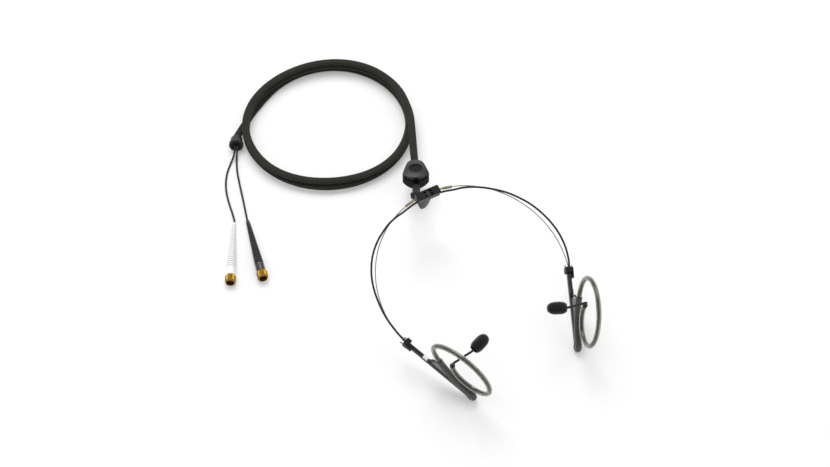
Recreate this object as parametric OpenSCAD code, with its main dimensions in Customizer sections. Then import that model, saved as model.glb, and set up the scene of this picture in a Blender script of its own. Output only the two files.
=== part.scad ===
// Neckband headset with two ear microphones, laid down with its cable coiled behind it.
// Millimetres. +Z up, +Y towards the block behind the neck, X across the head.
// The neckband is drawn flat and then tilted about the line through both feet.

/* [Neckband] */
// Radius of the band behind the neck
back_r = 74.5; // [70:0.5:86]
// Angle of the rear bend on each side of the middle
back_sweep = 50; // [44:1:56]
// Radius of the band beside the head
side_r = 79.5; // [72:0.5:90]
// Radius of the short bend where the band leaves the ear arm
hip_r = 28; // [20:1:40]
// Angle of that short bend
hip_sweep = 8; // [5:1:12]
// Angle by which each ear arm turns in towards the head
toe_in = 23.5; // [18:0.5:30]
// Angle at which the resting band rises towards the back
band_tilt = 19; // [12:1:24]
// Distance from the origin forward to the line through both feet
foot_setback = 68; // [55:0.5:80]
// Diameter of the spring wire
wire_d = 0.8; // [0.6:0.1:1]
// Height between the two wires where they pass each other
wire_gap = 1.2; // [1.1:0.1:1.6]
// Length of a crimp sleeve
crimp_len = 7; // [4:0.5:9]
// Free travel between a crimp sleeve and the block
crimp_travel = 3.4; // [2.5:0.1:6]
// Diameter of the microphone cable
cable_d = 1.6; // [1.2:0.1:1.8]
// Distance that the cable swings away from the wire
cable_swing = 3.4; // [2.6:0.1:4]

/* [Adjuster block] */
// Length of the block across the neck
block_len = 20; // [18:1:26]
// Depth of the block from front to back
block_depth = 7; // [6.6:0.1:9]
// Height of the block
block_h = 6; // [5.6:0.1:8]
// Length of the window over the wires
window_len = 7; // [5:0.5:9]
// Width of the cable boot where it hangs from the block
boot_w = 15; // [13:0.5:17]
// Width of the cable boot at its tip
boot_tip_w = 8.6; // [6:0.2:10]
// Length of the cable boot below the block
boot_drop = 16; // [13:0.5:20]

/* [Ear arm] */
// Length of the ear arm from its foot to the end of the wire
arm_len = 62; // [52:1:72]
// Width of the straight strut
strut_w = 3.4; // [3:0.1:4.4]
// Height of the straight strut
strut_h = 3.4; // [3:0.1:4.2]
// Angle by which the ring leans away from the head
ear_lean = 3.5; // [0:0.5:8]
// Thickness of the curved part of the arm
hook_d = 5.2; // [4.6:0.1:5.8]
// Radius of the turn at the foot
foot_turn_r = 2.5; // [2.2:0.1:3]
// Angle round the first bend at which the arm ends and the clear tube starts
hook_turn = 51; // [44:1:53]
// Thickness of the web between strut and hook
web_t = 1.6; // [1.2:0.1:2.4]
// Length of the colour marker on the cable
marker_len = 4.2; // [2.5:0.1:6]
// Outside diameter of the colour marker
marker_d = 3; // [2.4:0.1:3.4]
// Length of the collar along the strut
collar_len = 4; // [3.5:0.1:6]

/* [Ear ring] */
// Radius of the curved part of the arm
hook_r = 42; // [38:1:48]
// Radius of the ring over its rear
rear_r = 20.5; // [18:0.5:24]
// Radius of the ring over its top
top_r = 28.5; // [26:0.5:32]
// Radius of the ring down its front
front_r = 23; // [21:0.5:26]
// Radius of the ring under the ear
under_r = 19.5; // [17:0.5:22]
// Radius of the inner end that rises to the ear canal
inner_r = 14.5; // [13:0.5:16]
// Outside diameter of the clear tube
tube_d = 4; // [3.8:0.1:4.4]
// Bore of the clear tube
tube_bore = 3.1; // [3:0.05:3.3]
// Wall of the metal ferrule
ferrule_wall = 0.2; // [0.15:0.05:0.3]
// Length of ferrule inside the clear tube
ferrule_len = 6; // [4:0.5:8]
// Diameter of the cable inside the ring
ring_cable_d = 1.5; // [1.2:0.1:1.5]
// Diameter of the shaping wire inside the ring
ring_wire_d = 0.7; // [0.4:0.1:0.7]

/* [Microphone] */
// Diameter of the boom
boom_d = 1.9; // [1.4:0.1:2]
// Height to which the boom rises from the tube
boom_rise = 2.8; // [2:0.2:4]
// Length of the straight boom before the capsule
boom_reach = 13; // [8:0.5:15]
// Diameter of the capsule
capsule_d = 5.4; // [4.6:0.1:6]
// Length of the capsule
capsule_len = 12; // [10:0.5:13]
// Diameter of the foam windscreen
foam_d = 9.8; // [9:0.1:12]
// Length of the foam windscreen
foam_len = 15; // [14:0.5:18]

/* [Garment clip] */
// Width of the clip
clip_w = 21.4; // [20:0.2:26]
// Length of the clip
clip_len = 24; // [23:0.5:28]
// Height of the lower jaw
clip_body_h = 10.4; // [9.6:0.2:13]
// Thickness of the upper jaw
clip_lid_t = 2.2; // [1.8:0.1:3]
// Wall of the lower jaw
clip_wall = 1.3; // [1:0.1:1.8]
// Number of teeth on the upper jaw
clip_teeth = 7; // [5:1:9]
// Diameter of the hinge pin
clip_pin_d = 1.6; // [1.2:0.1:2]
// Angle to which the upper jaw opens
clip_open = 20; // [12:1:22]

/* [Cord] */
// Width of the flat braided cord
cord_w = 6.2; // [5:0.1:7]
// Thickness of the flat braided cord
cord_t = 3.6; // [3:0.1:4.4]
// Radius of the coil to the middle of the cord
coil_r = 68; // [60:1:75]
// Height of one turn above the one below
coil_pitch = 4.1; // [4:0.05:5]
// Diameter of each lead to a plug
lead_d = 1.6; // [1.2:0.1:2]

/* [Splitter] */
// Diameter of the splitter barrel
split_d = 9.8; // [9:0.1:11]
// Diameter of the splitter's flared rim
split_rim_d = 11.8; // [11.6:0.1:14]
// Length of the splitter
split_len = 9; // [8:0.5:12]

/* [Plugs] */
// Diameter of the coupling nut
nut_d = 8.6; // [8:0.1:10]
// Length of the coupling nut
nut_len = 6.8; // [6:0.1:9]
// Bore of the coupling nut's mouth
nut_bore = 6.2; // [5.6:0.1:6.6]
// Length of the strain relief
relief_len = 56; // [46:1:62]
// Diameter of the strain relief at the plug
relief_d = 7.2; // [6.8:0.1:8]
// Diameter of the strain relief at its tip
relief_tip_d = 3; // [2.6:0.1:4]
// Number of ribs on the strain relief
relief_ribs = 20; // [14:1:24]

/* [Hidden] */
$fn = 48;

// Clearances: a running fit, an easy fit, and the space between soft or free pieces
run_gap = 0.05;
easy_gap = 0.15;
rest_gap = 0.3;
left = -1;
right = 1;
// Each length of a bent wire or tube starts this far inside the one before and is a little thinner
seam = 0.02;
seam_lap = 0.1;
function lap_turn(r) = seam_lap / r * 180 / PI;

// Band in its flat plane: x across the head, y from the feet to the neck, z out of the plane
back_len = back_r * back_sweep * PI / 180;
hip_from = 90 + toe_in - hip_sweep;
side_sweep = hip_from - back_sweep;
side_end = back_len + side_r * side_sweep * PI / 180;
band_len = side_end + hip_r * hip_sweep * PI / 180;
foot_x = (back_r - side_r) * sin(back_sweep) + (side_r - hip_r) * sin(hip_from) + hip_r * cos(toe_in)
    - arm_len * sin(toe_in);
arm_end = [foot_x + arm_len * sin(toe_in), arm_len * cos(toe_in)];
hip_c = arm_end + hip_r * [-cos(toe_in), sin(toe_in)];
side_c = hip_c - (side_r - hip_r) * [sin(hip_from), cos(hip_from)];
back_c = side_c - (back_r - side_r) * [sin(back_sweep), cos(back_sweep)];
apex_y = back_c.y + back_r;
// The feet rest on the floor once the plane is tilted
foot_r = hook_d / 2;
foot_lean = sin(toe_in) * sin(band_tilt);
foot_z = foot_turn_r * sqrt(1 - foot_lean * foot_lean) + foot_r - foot_turn_r * cos(band_tilt);
function to_world(p) = [p.x, p.y * cos(band_tilt) - p.z * sin(band_tilt) - foot_setback,
    p.y * sin(band_tilt) + p.z * cos(band_tilt) + foot_z];

// Adjuster block: the wires run behind its middle and the cables in front of it
block_front = -4.4;
block_back = block_front + block_depth;
block_low = -block_h / 2 - 0.2;
block_top = block_low + block_h;
block_corner = 1.2;
cable_port = -2.2;
port_grip = 2.2;
wire_bore = wire_d + 2 * run_gap;
cable_bore = cable_d + 2 * easy_gap;
block_turn = asin(block_len / 2 / back_r);
crimp_turn = crimp_len / back_r * 180 / PI;
crimp_from = block_turn + crimp_travel / back_r * 180 / PI;
crimp_d = wire_d + 1;
port_z = -1.4;
port_end = 0.5;
window_w = 4.6;
window_floor = 0;
wire_slot = 2.4;
lock_len = 2.4;
lock_top = block_top - 0.7;
boot_split = -0.9;
boot_tip_r = boot_tip_w / 2;
boot_crown = 11;
boot_side = 2.5;
boot_tip_x = -1.4;
neck_x = -4.4;
neck_w = cord_w + 2.2;
neck_t = cord_t + 2.2;
neck_len = 6;
neck_dip = 46;
neck_z = block_low - 6.6;
neck_grip = 3;

// Ear arm and ring in their own plane: x along the arm from the foot, y up
arm_lead = -4;
ring = [[hook_r, 60], [rear_r, 60], [top_r, 80], [front_r, 80], [under_r, 80], [inner_r, 90]];
last = len(ring) - 1;
function ring_heading(i) = i == 0 ? arm_lead : ring_heading(i - 1) + ring[i - 1][1];
function left_of(h) = [-sin(h), cos(h)];
function ring_centre(i) = ring_start(i) + ring[i][0] * left_of(ring_heading(i));
function ring_start(i) = i == 0 ? foot_turn_r * [-sin(arm_lead), 1 + cos(arm_lead)]
    : ring_centre(i - 1) - ring[i - 1][0] * left_of(ring_heading(i));
hook_end = ring_centre(0) - hook_r * left_of(arm_lead + hook_turn);
ring_end = ring_start(last + 1);
ring_end_h = ring_heading(last + 1);
ferrule_turn = ferrule_len / hook_r * 180 / PI;
ferrule_root = 5;
root_turn = ferrule_root / hook_r * 180 / PI;
ferrule_d = tube_bore - 2 * run_gap;
ferrule_bore = ferrule_d - 2 * ferrule_wall;
cable_shift = -((ferrule_bore - ring_cable_d) / 2 - run_gap);
wire_shift = (ferrule_bore - ring_wire_d) / 2 - run_gap;
tail_turn = 16;
plug_turn = 9;
plug_back = 2;
cable_seat = strut_h / 2 + 0.55;
marker_at = 44;
wire_grip = 10;
stub_out = 2.6;
stub_x = strut_w / 2 + wire_d / 2 + 0.4;
collar_w = 2 * stub_x + wire_d + 0.8;
collar_low = -strut_h / 2 - 1;
collar_top = cable_seat + cable_d / 2 + 1;
hook_finger = 4;
port_at = hook_end + [1.2, -6.2];
port_heading = 125;
port_len = 5;
port_hole = 2.2;
port_d = cable_d + 1.4;
web_foot = [marker_at - marker_len / 2 - 2.5, strut_h / 2 - 0.4];
web_head = port_at + [-0.2, -0.6];
// Cable along the band: length from the middle, distance outside the wire, height
// It crosses over the wire and swings out as [length from the middle, share of the swing] on each side
left_swing = [[33, -0.4], [38, -0.12], [45, 0.2], [58, 0.66], [70, 0.97], [81, 1.04], [92, 0.96],
    [104, 0.72], [120, 0.45], [136, 0.2]];
right_swing = [[33, -0.6], [39, -0.42], [48, -0.22], [60, 0.13], [70, 0.42], [84, 0.77], [98, 0.93],
    [112, 1], [125, 0.82], [137, 0.42]];
function cable_route(side) = concat([[block_len / 2 - port_grip, cable_port, port_z],
    [block_len / 2 + 4, cable_port, port_z], [19, cable_port, port_z], [23, cable_port, port_z + 0.6],
    [28, cable_port, 1.4]], [for (p = side < 0 ? left_swing : right_swing) [p.x, p.y * cable_swing, 2.4]],
    [[band_len, 0, cable_seat]]);
// Cable along the arm and up the edge of the web: distance from the foot, height
climb_from = [marker_at - marker_len / 2, cable_seat];
port_in = port_at + port_hole * [cos(port_heading), sin(port_heading)];
cable_climb = [[arm_len - 4, cable_seat], [marker_at + marker_len / 2, cable_seat], climb_from,
    climb_from + [-1.3, 1], climb_from + [-2.3, 2.9], climb_from + [-3.1, 5], climb_from + [-3.9, 7.2],
    port_at - 1.6 * [cos(port_heading), sin(port_heading)], port_at, port_in];

// Boom: it leaves the tube upwards, turns in to the ear canal and straightens into the capsule
// Its points are [away from the head, along the arm, up]
boom_bend_r = 2.4;
pin_out = 0.6;
capsule_bend_r = 14;
boom_up = [0, cos(ring_end_h), sin(ring_end_h)];
boom_in = unit([-1, -0.31, 0.12]);
capsule_dir = unit([-1, -0.05, 0]);
boom_from = [0, ring_end.x, ring_end.y];
boom_top = boom_from + boom_rise * boom_up;
boom_bent = concat([boom_from + (pin_out - 0.1) * boom_up], bend(boom_top, boom_up, boom_in,
    boom_bend_r, 6), bend(bend_end(boom_top, boom_up, boom_in, boom_bend_r) + boom_reach * boom_in,
    boom_in, capsule_dir, capsule_bend_r, 3));
boom_path = concat(boom_bent, [boom_bent[len(boom_bent) - 1] + capsule_dir]);
capsule_at = boom_path[len(boom_path) - 1];
capsule_boot = 2.5;
grid_len = 4;
foam_lap = 1.5;
foam_bore_len = capsule_len + foam_lap;

// Garment clip in its own frame: y towards the coil, z up, the cord along y through the origin
clip_pos = [16.6, 131.4, 15.6];
clip_heading = 27;
clip_pitch = 13;
clip_low = -cord_t / 2 - easy_gap - clip_wall;
clip_rim = clip_low + clip_body_h;
clip_corner = 2;
clip_apex = 7;
clip_front_r = 15.5;
emblem_d = 11;
emblem_deep = 0.35;
clip_gap = 0.4;
belly_r = 17;
pin_y = clip_len / 2 - 5.6;
pin_z = clip_rim - 2.2;
tongue_t = 1.2;
tongue_top = clip_rim - 2.6;
ear_t = 1.4;
ear_x = 3;
spring_d = 3.6;
spring_wire = 0.5;
spring_turns = 3;
function clip_axes(p) = [p.x, cos(clip_pitch) * p.y + sin(clip_pitch) * p.z,
    cos(clip_pitch) * p.z - sin(clip_pitch) * p.y];
function clip_world(p) = let (q = clip_axes(p)) clip_pos + [cos(clip_heading) * q.x
    + sin(clip_heading) * q.y, cos(clip_heading) * q.y - sin(clip_heading) * q.x, q.z];

// Cord: from the neck of the block through the clip, round the coil and on to the splitter
neck_out = [0, cos(neck_dip), -sin(neck_dip)];
neck_seat = [neck_x, apex_y + block_back, neck_z] + (neck_len - neck_grip) * neck_out;
cord_start = to_world(neck_seat);
cord_dir = to_world(neck_seat + neck_out) - cord_start;
coil_c = [-15.5, 225.2];
coil_low = cord_t / 2;
coil_from = -16;
coil_to = 841;
coil_high = coil_low + coil_pitch * (coil_to - coil_from) / 360;
coil_rings = 24;
// The turns draw in over part of their way: middle angle, half the angle, share of the radius
coil_draw = [[96, 70, 0.058], [246, 55, 0.042], [456, 70, 0.064], [coil_to, 80, 0.074]];
function drawn_in(a, d) = abs(a - d[0]) < d[1] ? d[2] * (1 + cos(180 * (a - d[0]) / d[1])) / 2 : 0;
function coil_share(a, i = 0) = i < len(coil_draw) ? drawn_in(a, coil_draw[i]) + coil_share(a, i + 1) : 0;
function coil_point(a) = let (r = coil_r * (1 - coil_share(a))) [coil_c.x + r * cos(a),
    coil_c.y + r * sin(a), coil_high - coil_pitch * (a - coil_from) / 360];
function coil_dir(a) = [-sin(a), cos(a), 0];
coil_steps = round((coil_to - coil_from) / 360 * coil_rings);
coil_path = concat([coil_point(coil_from) - cord_w * coil_dir(coil_from)],
    [for (i = [0:coil_steps]) coil_point(coil_from + (coil_to - coil_from) * i / coil_steps)],
    [coil_point(coil_to) + cord_w * coil_dir(coil_to)]);
coil_in = coil_path[0];
coil_out = coil_path[len(coil_path) - 1];
rise_route = [cord_start, cord_start + 5 * cord_dir, [1.5, 103.5, 30.6],
    clip_world([0, -clip_len / 2 - 4, 1.1]), clip_world([0, -clip_len / 2 + 1, 0]),
    clip_world([0, 0, 0]), clip_world([0, clip_len / 2, 0]), clip_world([0, clip_len / 2 + 5, 0.2]),
    [31.5, 162, 11.2], [40, 180, coil_high], coil_in - cord_w * coil_dir(coil_from), coil_in];
// Splitter on the floor, its open mouth towards the plugs, lying on its rim and its back edge
split_rim_len = 3.4;
split_rim_back = split_rim_len - 0.8;
split_edge = 1;
split_pitch = asin((split_rim_d - split_d) / 2 / (split_len - split_edge - split_rim_back));
split_pos = [-92.8, 239.6, split_rim_d / 2 * cos(split_pitch) + split_rim_back * sin(split_pitch)];
split_heading = 28;
split_cup = 8;
split_cup_len = 5.6;
split_plug_from = 1.4;
lead_grip = 3;
lead_gap = 1;
function aim(at, heading, pitch, p) = at + [cos(heading) * p.x + sin(heading) * cos(pitch) * p.y
    + sin(heading) * sin(pitch) * p.z, -sin(heading) * p.x + cos(heading) * cos(pitch) * p.y
    + cos(heading) * sin(pitch) * p.z, cos(pitch) * p.z - sin(pitch) * p.y];
function split_world(p) = aim(split_pos, split_heading, split_pitch, p);
tail_route = [coil_out, [-64, 269.2, 1.9], [-74, 261.6, 1.9], [-80.8, 256.2, 2],
    split_world([0, split_len + 4.5, -1]), split_world([0, split_len + 0.5, -0.1]),
    split_world([0, split_cup_len + easy_gap, 0])];
// Plugs on the floor, each resting on its nut, with the strain relief sloping down to its tip
relief_pitch = asin((nut_d / 2 - relief_tip_d / 2 - 0.1) / relief_len);
plug_z = nut_d / 2 * cos(relief_pitch) + nut_len * sin(relief_pitch);
white_at = [-158.5, 114.2, plug_z];
white_heading = 28.3;
black_at = [-134, 105.6, plug_z];
black_heading = 14.5;
relief_tip = nut_len + relief_len;
lead_z = lead_d / 2 + 0.2;
function lead_route(side, middle, at, heading) = concat(
    [split_world([side * lead_gap, split_plug_from + lead_grip, 0]), split_world([side * lead_gap, 0, 0]),
        split_world([side * lead_gap, -2.6, -0.9])], middle,
    [aim(at, heading, relief_pitch, [0, relief_tip + 3, 0]),
        aim(at, heading, relief_pitch, [0, relief_tip - lead_grip, 0])]);
white_route = lead_route(left, [[-98.6, 232.6, 3.4], [-103.2, 228.8, lead_z], [-110.4, 220.6, lead_z],
    [-116.2, 211.2, lead_z], [-120.2, 201.4, lead_z], [-122.9, 191.6, lead_z], [-124.9, 182, lead_z]],
    white_at, white_heading);
black_route = lead_route(right, [[-96.3, 231.6, 3.4], [-98.6, 227.4, lead_z], [-102.6, 218, lead_z],
    [-105.8, 208.2, lead_z], [-108.7, 198.4, lead_z], [-111.6, 188.6, lead_z], [-114.4, 179.4, lead_z]],
    black_at, black_heading);
// Plug stations along its axis, from the mouth of the nut
mouth_len = 2.2;
pin_from = 2.3;
insulator_from = 3.1;
stem_from = 2.9;
flange_from = 4;
nut_wall_from = 5.1;
stem_d = 4.2;
insulator_d = 3.2;
centre_d = 0.9;
stem_grip = 7;

// Smooth curve through points, as a Catmull-Rom spline
function spline(a, b, c, d, t) = 0.5 * (2 * b + (c - a) * t + (2 * a - 5 * b + 4 * c - d) * t * t
    + (3 * b - a - 3 * c + d) * t * t * t);
function smooth(p, step) = let (n = len(p) - 1) concat(
    [for (i = [0:n - 1]) let (m = max(1, round(norm(p[i + 1] - p[i]) / step)))
        for (k = [0:m - 1]) spline(p[max(i - 1, 0)], p[i], p[i + 1], p[min(i + 2, n)], k / m)], [p[n]]);
function unit(v) = v / norm(v);
function tangent(p, i) = unit(p[min(i + 1, len(p) - 1)] - p[max(i - 1, 0)]);
// Points round a bend from one direction to another, and the point where it ends
function bend_angle(a, b) = acos(a * b);
function bend_at(p, a, b, r, t) = p + r * (sin(t) * a + (1 - cos(t)) * unit(b - (a * b) * a));
function bend_end(p, a, b, r) = bend_at(p, a, b, r, bend_angle(a, b));
function bend(p, a, b, r, n) = [for (i = [0:n]) bend_at(p, a, b, r, bend_angle(a, b) * i / n)];

// Positions along the band, outside the wire by off, and on the arm
function on_arc(c, r, a, off, z) = [c.x + (r + off) * sin(a), c.y + (r + off) * cos(a), z];
function band_point(u, off, z) = u <= back_len ? on_arc(back_c, back_r, u / back_r * 180 / PI, off, z)
    : u <= side_end ? on_arc(side_c, side_r, back_sweep + (u - back_len) / side_r * 180 / PI, off, z)
    : on_arc(hip_c, hip_r, hip_from + (u - side_end) / hip_r * 180 / PI, off, z);
function arm_point(n, a, b) = [foot_x + n * cos(toe_in) + a * sin(toe_in),
    a * cos(toe_in) - n * sin(toe_in), b];
function lean_point(p, share) = arm_point(p.y * sin(ear_lean * share), p.x, p.y * cos(ear_lean * share));
// Directions to the side of a path that turns freely in space
function turned(s, d) = unit(s - (s * d) * d);
function free_sides(p, up) = [for (i = 0, s = unit(cross(tangent(p, 0), up)); i < len(p);
    i = i + 1, s = turned(s, tangent(p, min(i, len(p) - 1)))) s];

// A closed tube of oval section along a path; its width stays level, or the tube turns freely
module tube(path, w, t, sides, up = [0, 0, 1], free = false, from = 0) {
    n = len(path);
    across = free ? free_sides(path, up) : [for (i = [0:n - 1]) unit(cross(tangent(path, i), up))];
    points = [for (i = [0:n - 1]) let (s = across[i], u = cross(s, tangent(path, i)))
        for (k = [0:sides - 1]) let (a = from + 360 * k / sides)
            path[i] + s * w / 2 * cos(a) + u * t / 2 * sin(a)];
    start = [for (k = [sides - 1:-1:0]) k];
    end = [for (k = [0:sides - 1]) (n - 1) * sides + k];
    walls = [for (i = [0:n - 2], k = [0:sides - 1]) let (a = i * sides + k, b = i * sides + (k + 1) % sides)
        each [[a, b + sides, a + sides], [a, b, b + sides]]];
    polyhedron(points, concat([start, end], walls), convexity = 10);
}

// Outline round circles given as [x, y, radius] in order, with straight lines between them
function edge_angle(a, b) = let (d = [b.x - a.x, b.y - a.y]) atan2(d.y, d.x) - acos((a.z - b.z) / norm(d));
module outline(c, inset = 0, steps = 5) {
    n = len(c);
    polygon([for (i = [0:n - 1]) let (p = c[i], from = edge_angle(c[(i + n - 1) % n], p),
        turn = (edge_angle(p, c[(i + 1) % n]) - from + 720) % 360, m = ceil(steps * turn / 90))
        for (k = [0:m]) let (a = from + turn * k / m) [p.x, p.y] + (p.z - inset) * [cos(a), sin(a)]]);
}
module box_outline(x, y, r, steps = 5) {
    outline([[r - x / 2, r - y / 2, r], [x / 2 - r, r - y / 2, r],
        [x / 2 - r, y / 2 - r, r], [r - x / 2, y / 2 - r, r]], 0, steps);
}
module stadium(w, t) {
    outline([[(t - w) / 2, 0, t / 2], [(w - t) / 2, 0, t / 2]], 0, 6);
}

// Frames: the tilted plane of the band, one side of it, and the arm with its ring
module tilted() {
    translate([0, -foot_setback, foot_z])
        rotate([band_tilt, 0, 0])
            children();
}
module on_side(side) {
    tilted()
        mirror([side < 0 ? 1 : 0, 0, 0])
            children();
}
module on_arm(side) {
    on_side(side)
        translate([foot_x, 0, 0])
            rotate([0, 0, -toe_in])
                children();
}
module leaning(side) {
    on_arm(side)
        rotate([0, ear_lean, 0])
            children();
}
module ear_plane(side) {
    leaning(side)
        rotate([90, 0, 90])
            children();
}
// Turns the z axis to a direction
module aimed(d) {
    rotate([0, acos(d.z), atan2(d.y, d.x)])
        children();
}
// Turns an outline drawn in x and y so that it is extruded along y
module along_y() {
    rotate([90, 0, 0])
        mirror([0, 0, 1])
            children();
}

// Section swept round the middle of the band, angles measured from the neck
module band_arc(c, r, from, to, z = 0) {
    translate([c.x, c.y, z])
        rotate(90 - to)
            rotate_extrude(angle = to - from, $fn = 144)
                translate([r, 0])
                    children();
}
module block_bores() {
    for (side = [left, right]) {
        band_arc(back_c, back_r, -block_turn - 2, block_turn + 2, side * wire_gap / 2)
            circle(d = wire_bore);
        mirror([side < 0 ? 1 : 0, 0, 0])
            intersection() {
                band_arc(back_c, back_r + cable_port, -2, block_turn + 2, port_z)
                    circle(d = cable_bore);
                translate([port_end, 0, -block_h])
                    cube([block_len, 2 * apex_y, 2 * block_h]);
            }
    }
}
module boot_outline() {
    outline([[boot_tip_x, block_low - boot_drop + boot_tip_r, boot_tip_r],
        [boot_w / 2 - 1 - boot_side, block_low + 1, 1], [1 - boot_w / 2 - boot_side, block_low + 1, 1]]);
}
// Boot under the block between two depths, its front rounded
module boot(from, to) {
    intersection() {
        translate([0, apex_y + from, 0])
            along_y()
                linear_extrude(to - from)
                    boot_outline();
        translate([-boot_side, apex_y + block_front + boot_crown, block_low - boot_drop - 1])
            cylinder(r = boot_crown, h = boot_drop + 4, $fn = 96);
    }
}
module block_housing() {
    color("#2c2c2a")
        tilted()
            difference() {
                union() {
                    translate([0, apex_y + (block_front + block_back) / 2, block_low])
                        linear_extrude(block_h)
                            box_outline(block_len, block_depth, block_corner);
                    boot(block_front, boot_split);
                }
                block_bores();
                translate([0, apex_y - 0.9, window_floor + block_h / 2])
                    cube([window_len, window_w, block_h], center = true);
                translate([0, apex_y + 0.2, 0])
                    cube([window_len, wire_slot, 2.6], center = true);
            }
}
module neck(w, t, from, to) {
    translate([neck_x, apex_y + block_back, neck_z])
        rotate([-neck_dip, 0, 0])
            translate([0, from, 0])
                along_y()
                    linear_extrude(to - from)
                        stadium(w, t);
}
module block_back_cover() {
    color("#2c2c2a")
        tilted()
            difference() {
                union() {
                    intersection() {
                        boot(boot_split + run_gap, block_back);
                        translate([-block_len, 0, block_low - 2 * boot_drop])
                            cube([2 * block_len, 2 * apex_y, 2 * boot_drop - run_gap]);
                    }
                    intersection() {
                        neck(neck_w, neck_t, -5, neck_len);
                        translate([-block_len, apex_y + boot_split + run_gap, block_low - 2 * boot_drop])
                            cube([2 * block_len, 40, 2 * boot_drop - run_gap]);
                    }
                }
                neck(cord_w, cord_t, neck_len - neck_grip, neck_len + 1);
            }
}
// Saddle across the window, pressed on the wires
module wire_lock() {
    color("#3a3a37")
        tilted()
            difference() {
                translate([-lock_len / 2, apex_y - 0.9 - window_w / 2 + run_gap, window_floor])
                    cube([lock_len, window_w - 2 * run_gap, lock_top - window_floor]);
                band_arc(back_c, back_r, -6, 6, wire_gap / 2)
                    circle(d = wire_bore);
                translate([0, apex_y, 0])
                    cube([block_len, wire_bore, wire_gap], center = true);
            }
}

module band_wire(side) {
    z = side * wire_gap / 2;
    color("#a8987a") {
        on_side(side) {
            band_arc(back_c, back_r, -crimp_from - crimp_turn, back_sweep, z)
                circle(d = wire_d);
            band_arc(side_c, side_r, back_sweep - lap_turn(side_r), hip_from, z)
                circle(d = wire_d - seam);
            band_arc(hip_c, hip_r, hip_from - lap_turn(hip_r), 90 + toe_in, z)
                circle(d = wire_d - 2 * seam);
        }
        on_arm(side)
            translate([0, arm_len - wire_grip, z])
                along_y()
                    cylinder(d = wire_d - 3 * seam, h = wire_grip + seam_lap);
    }
}
// Crimp on the tail of one wire, sliding along the other
module tail_crimp(side) {
    z = side * wire_gap / 2;
    color("#8f8570")
        on_side(side)
            band_arc(back_c, back_r, -crimp_from - crimp_turn, -crimp_from)
                difference() {
                    rotate(90)
                        stadium(wire_gap + crimp_d, crimp_d);
                    translate([0, z])
                        circle(d = wire_d + 0.02);
                    translate([0, -z])
                        circle(d = wire_bore);
                }
}
module mic_cable(side) {
    color("#262626")
        on_side(side)
            tube(concat([for (p = smooth(cable_route(side), 4.6)) band_point(p.x, p.y, p.z)],
                [for (p = smooth(cable_climb, 2.2)) lean_point(p, p.x > climb_from.x ? 0 : 1)]),
                cable_d, cable_d, 8, free = true);
}

module collar(side) {
    z = side * wire_gap / 2;
    from = arm_len - collar_len / 2;
    h = collar_top - collar_low;
    color("#2b2b2b")
        on_arm(side) {
            difference() {
                translate([0, from, (collar_low + collar_top) / 2])
                    along_y()
                        linear_extrude(collar_len)
                            box_outline(collar_w, h, 1.3);
                translate([0, from - 1, 0])
                    along_y()
                        linear_extrude(arm_len + run_gap - from + 1)
                            square([strut_w + 2 * run_gap, strut_h + 2 * run_gap], center = true);
                translate([0, from - 1, z])
                    along_y()
                        cylinder(d = wire_d + 2 * easy_gap, h = collar_len + 2);
                translate([0, from - 1, cable_seat])
                    along_y()
                        cylinder(d = cable_d + 2 * easy_gap, h = collar_len + 2);
            }
            translate([collar_w / 2 - 1.3, from - hook_finger, collar_low + 1.8])
                cube([1.3, hook_finger + 0.5, h - 3.4]);
            for (s = [-1, 1])
                translate([s * stub_x, from + collar_len - 1, 0])
                    along_y()
                        cylinder(d = wire_d, h = 1 + stub_out);
        }
}

module strut_section() {
    difference() {
        box_outline(strut_w, strut_h, 0.9);
        for (s = [-1, 1])
            translate([s * (strut_w / 2 + 0.25), -0.1])
                circle(d = 1.1);
    }
}
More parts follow.
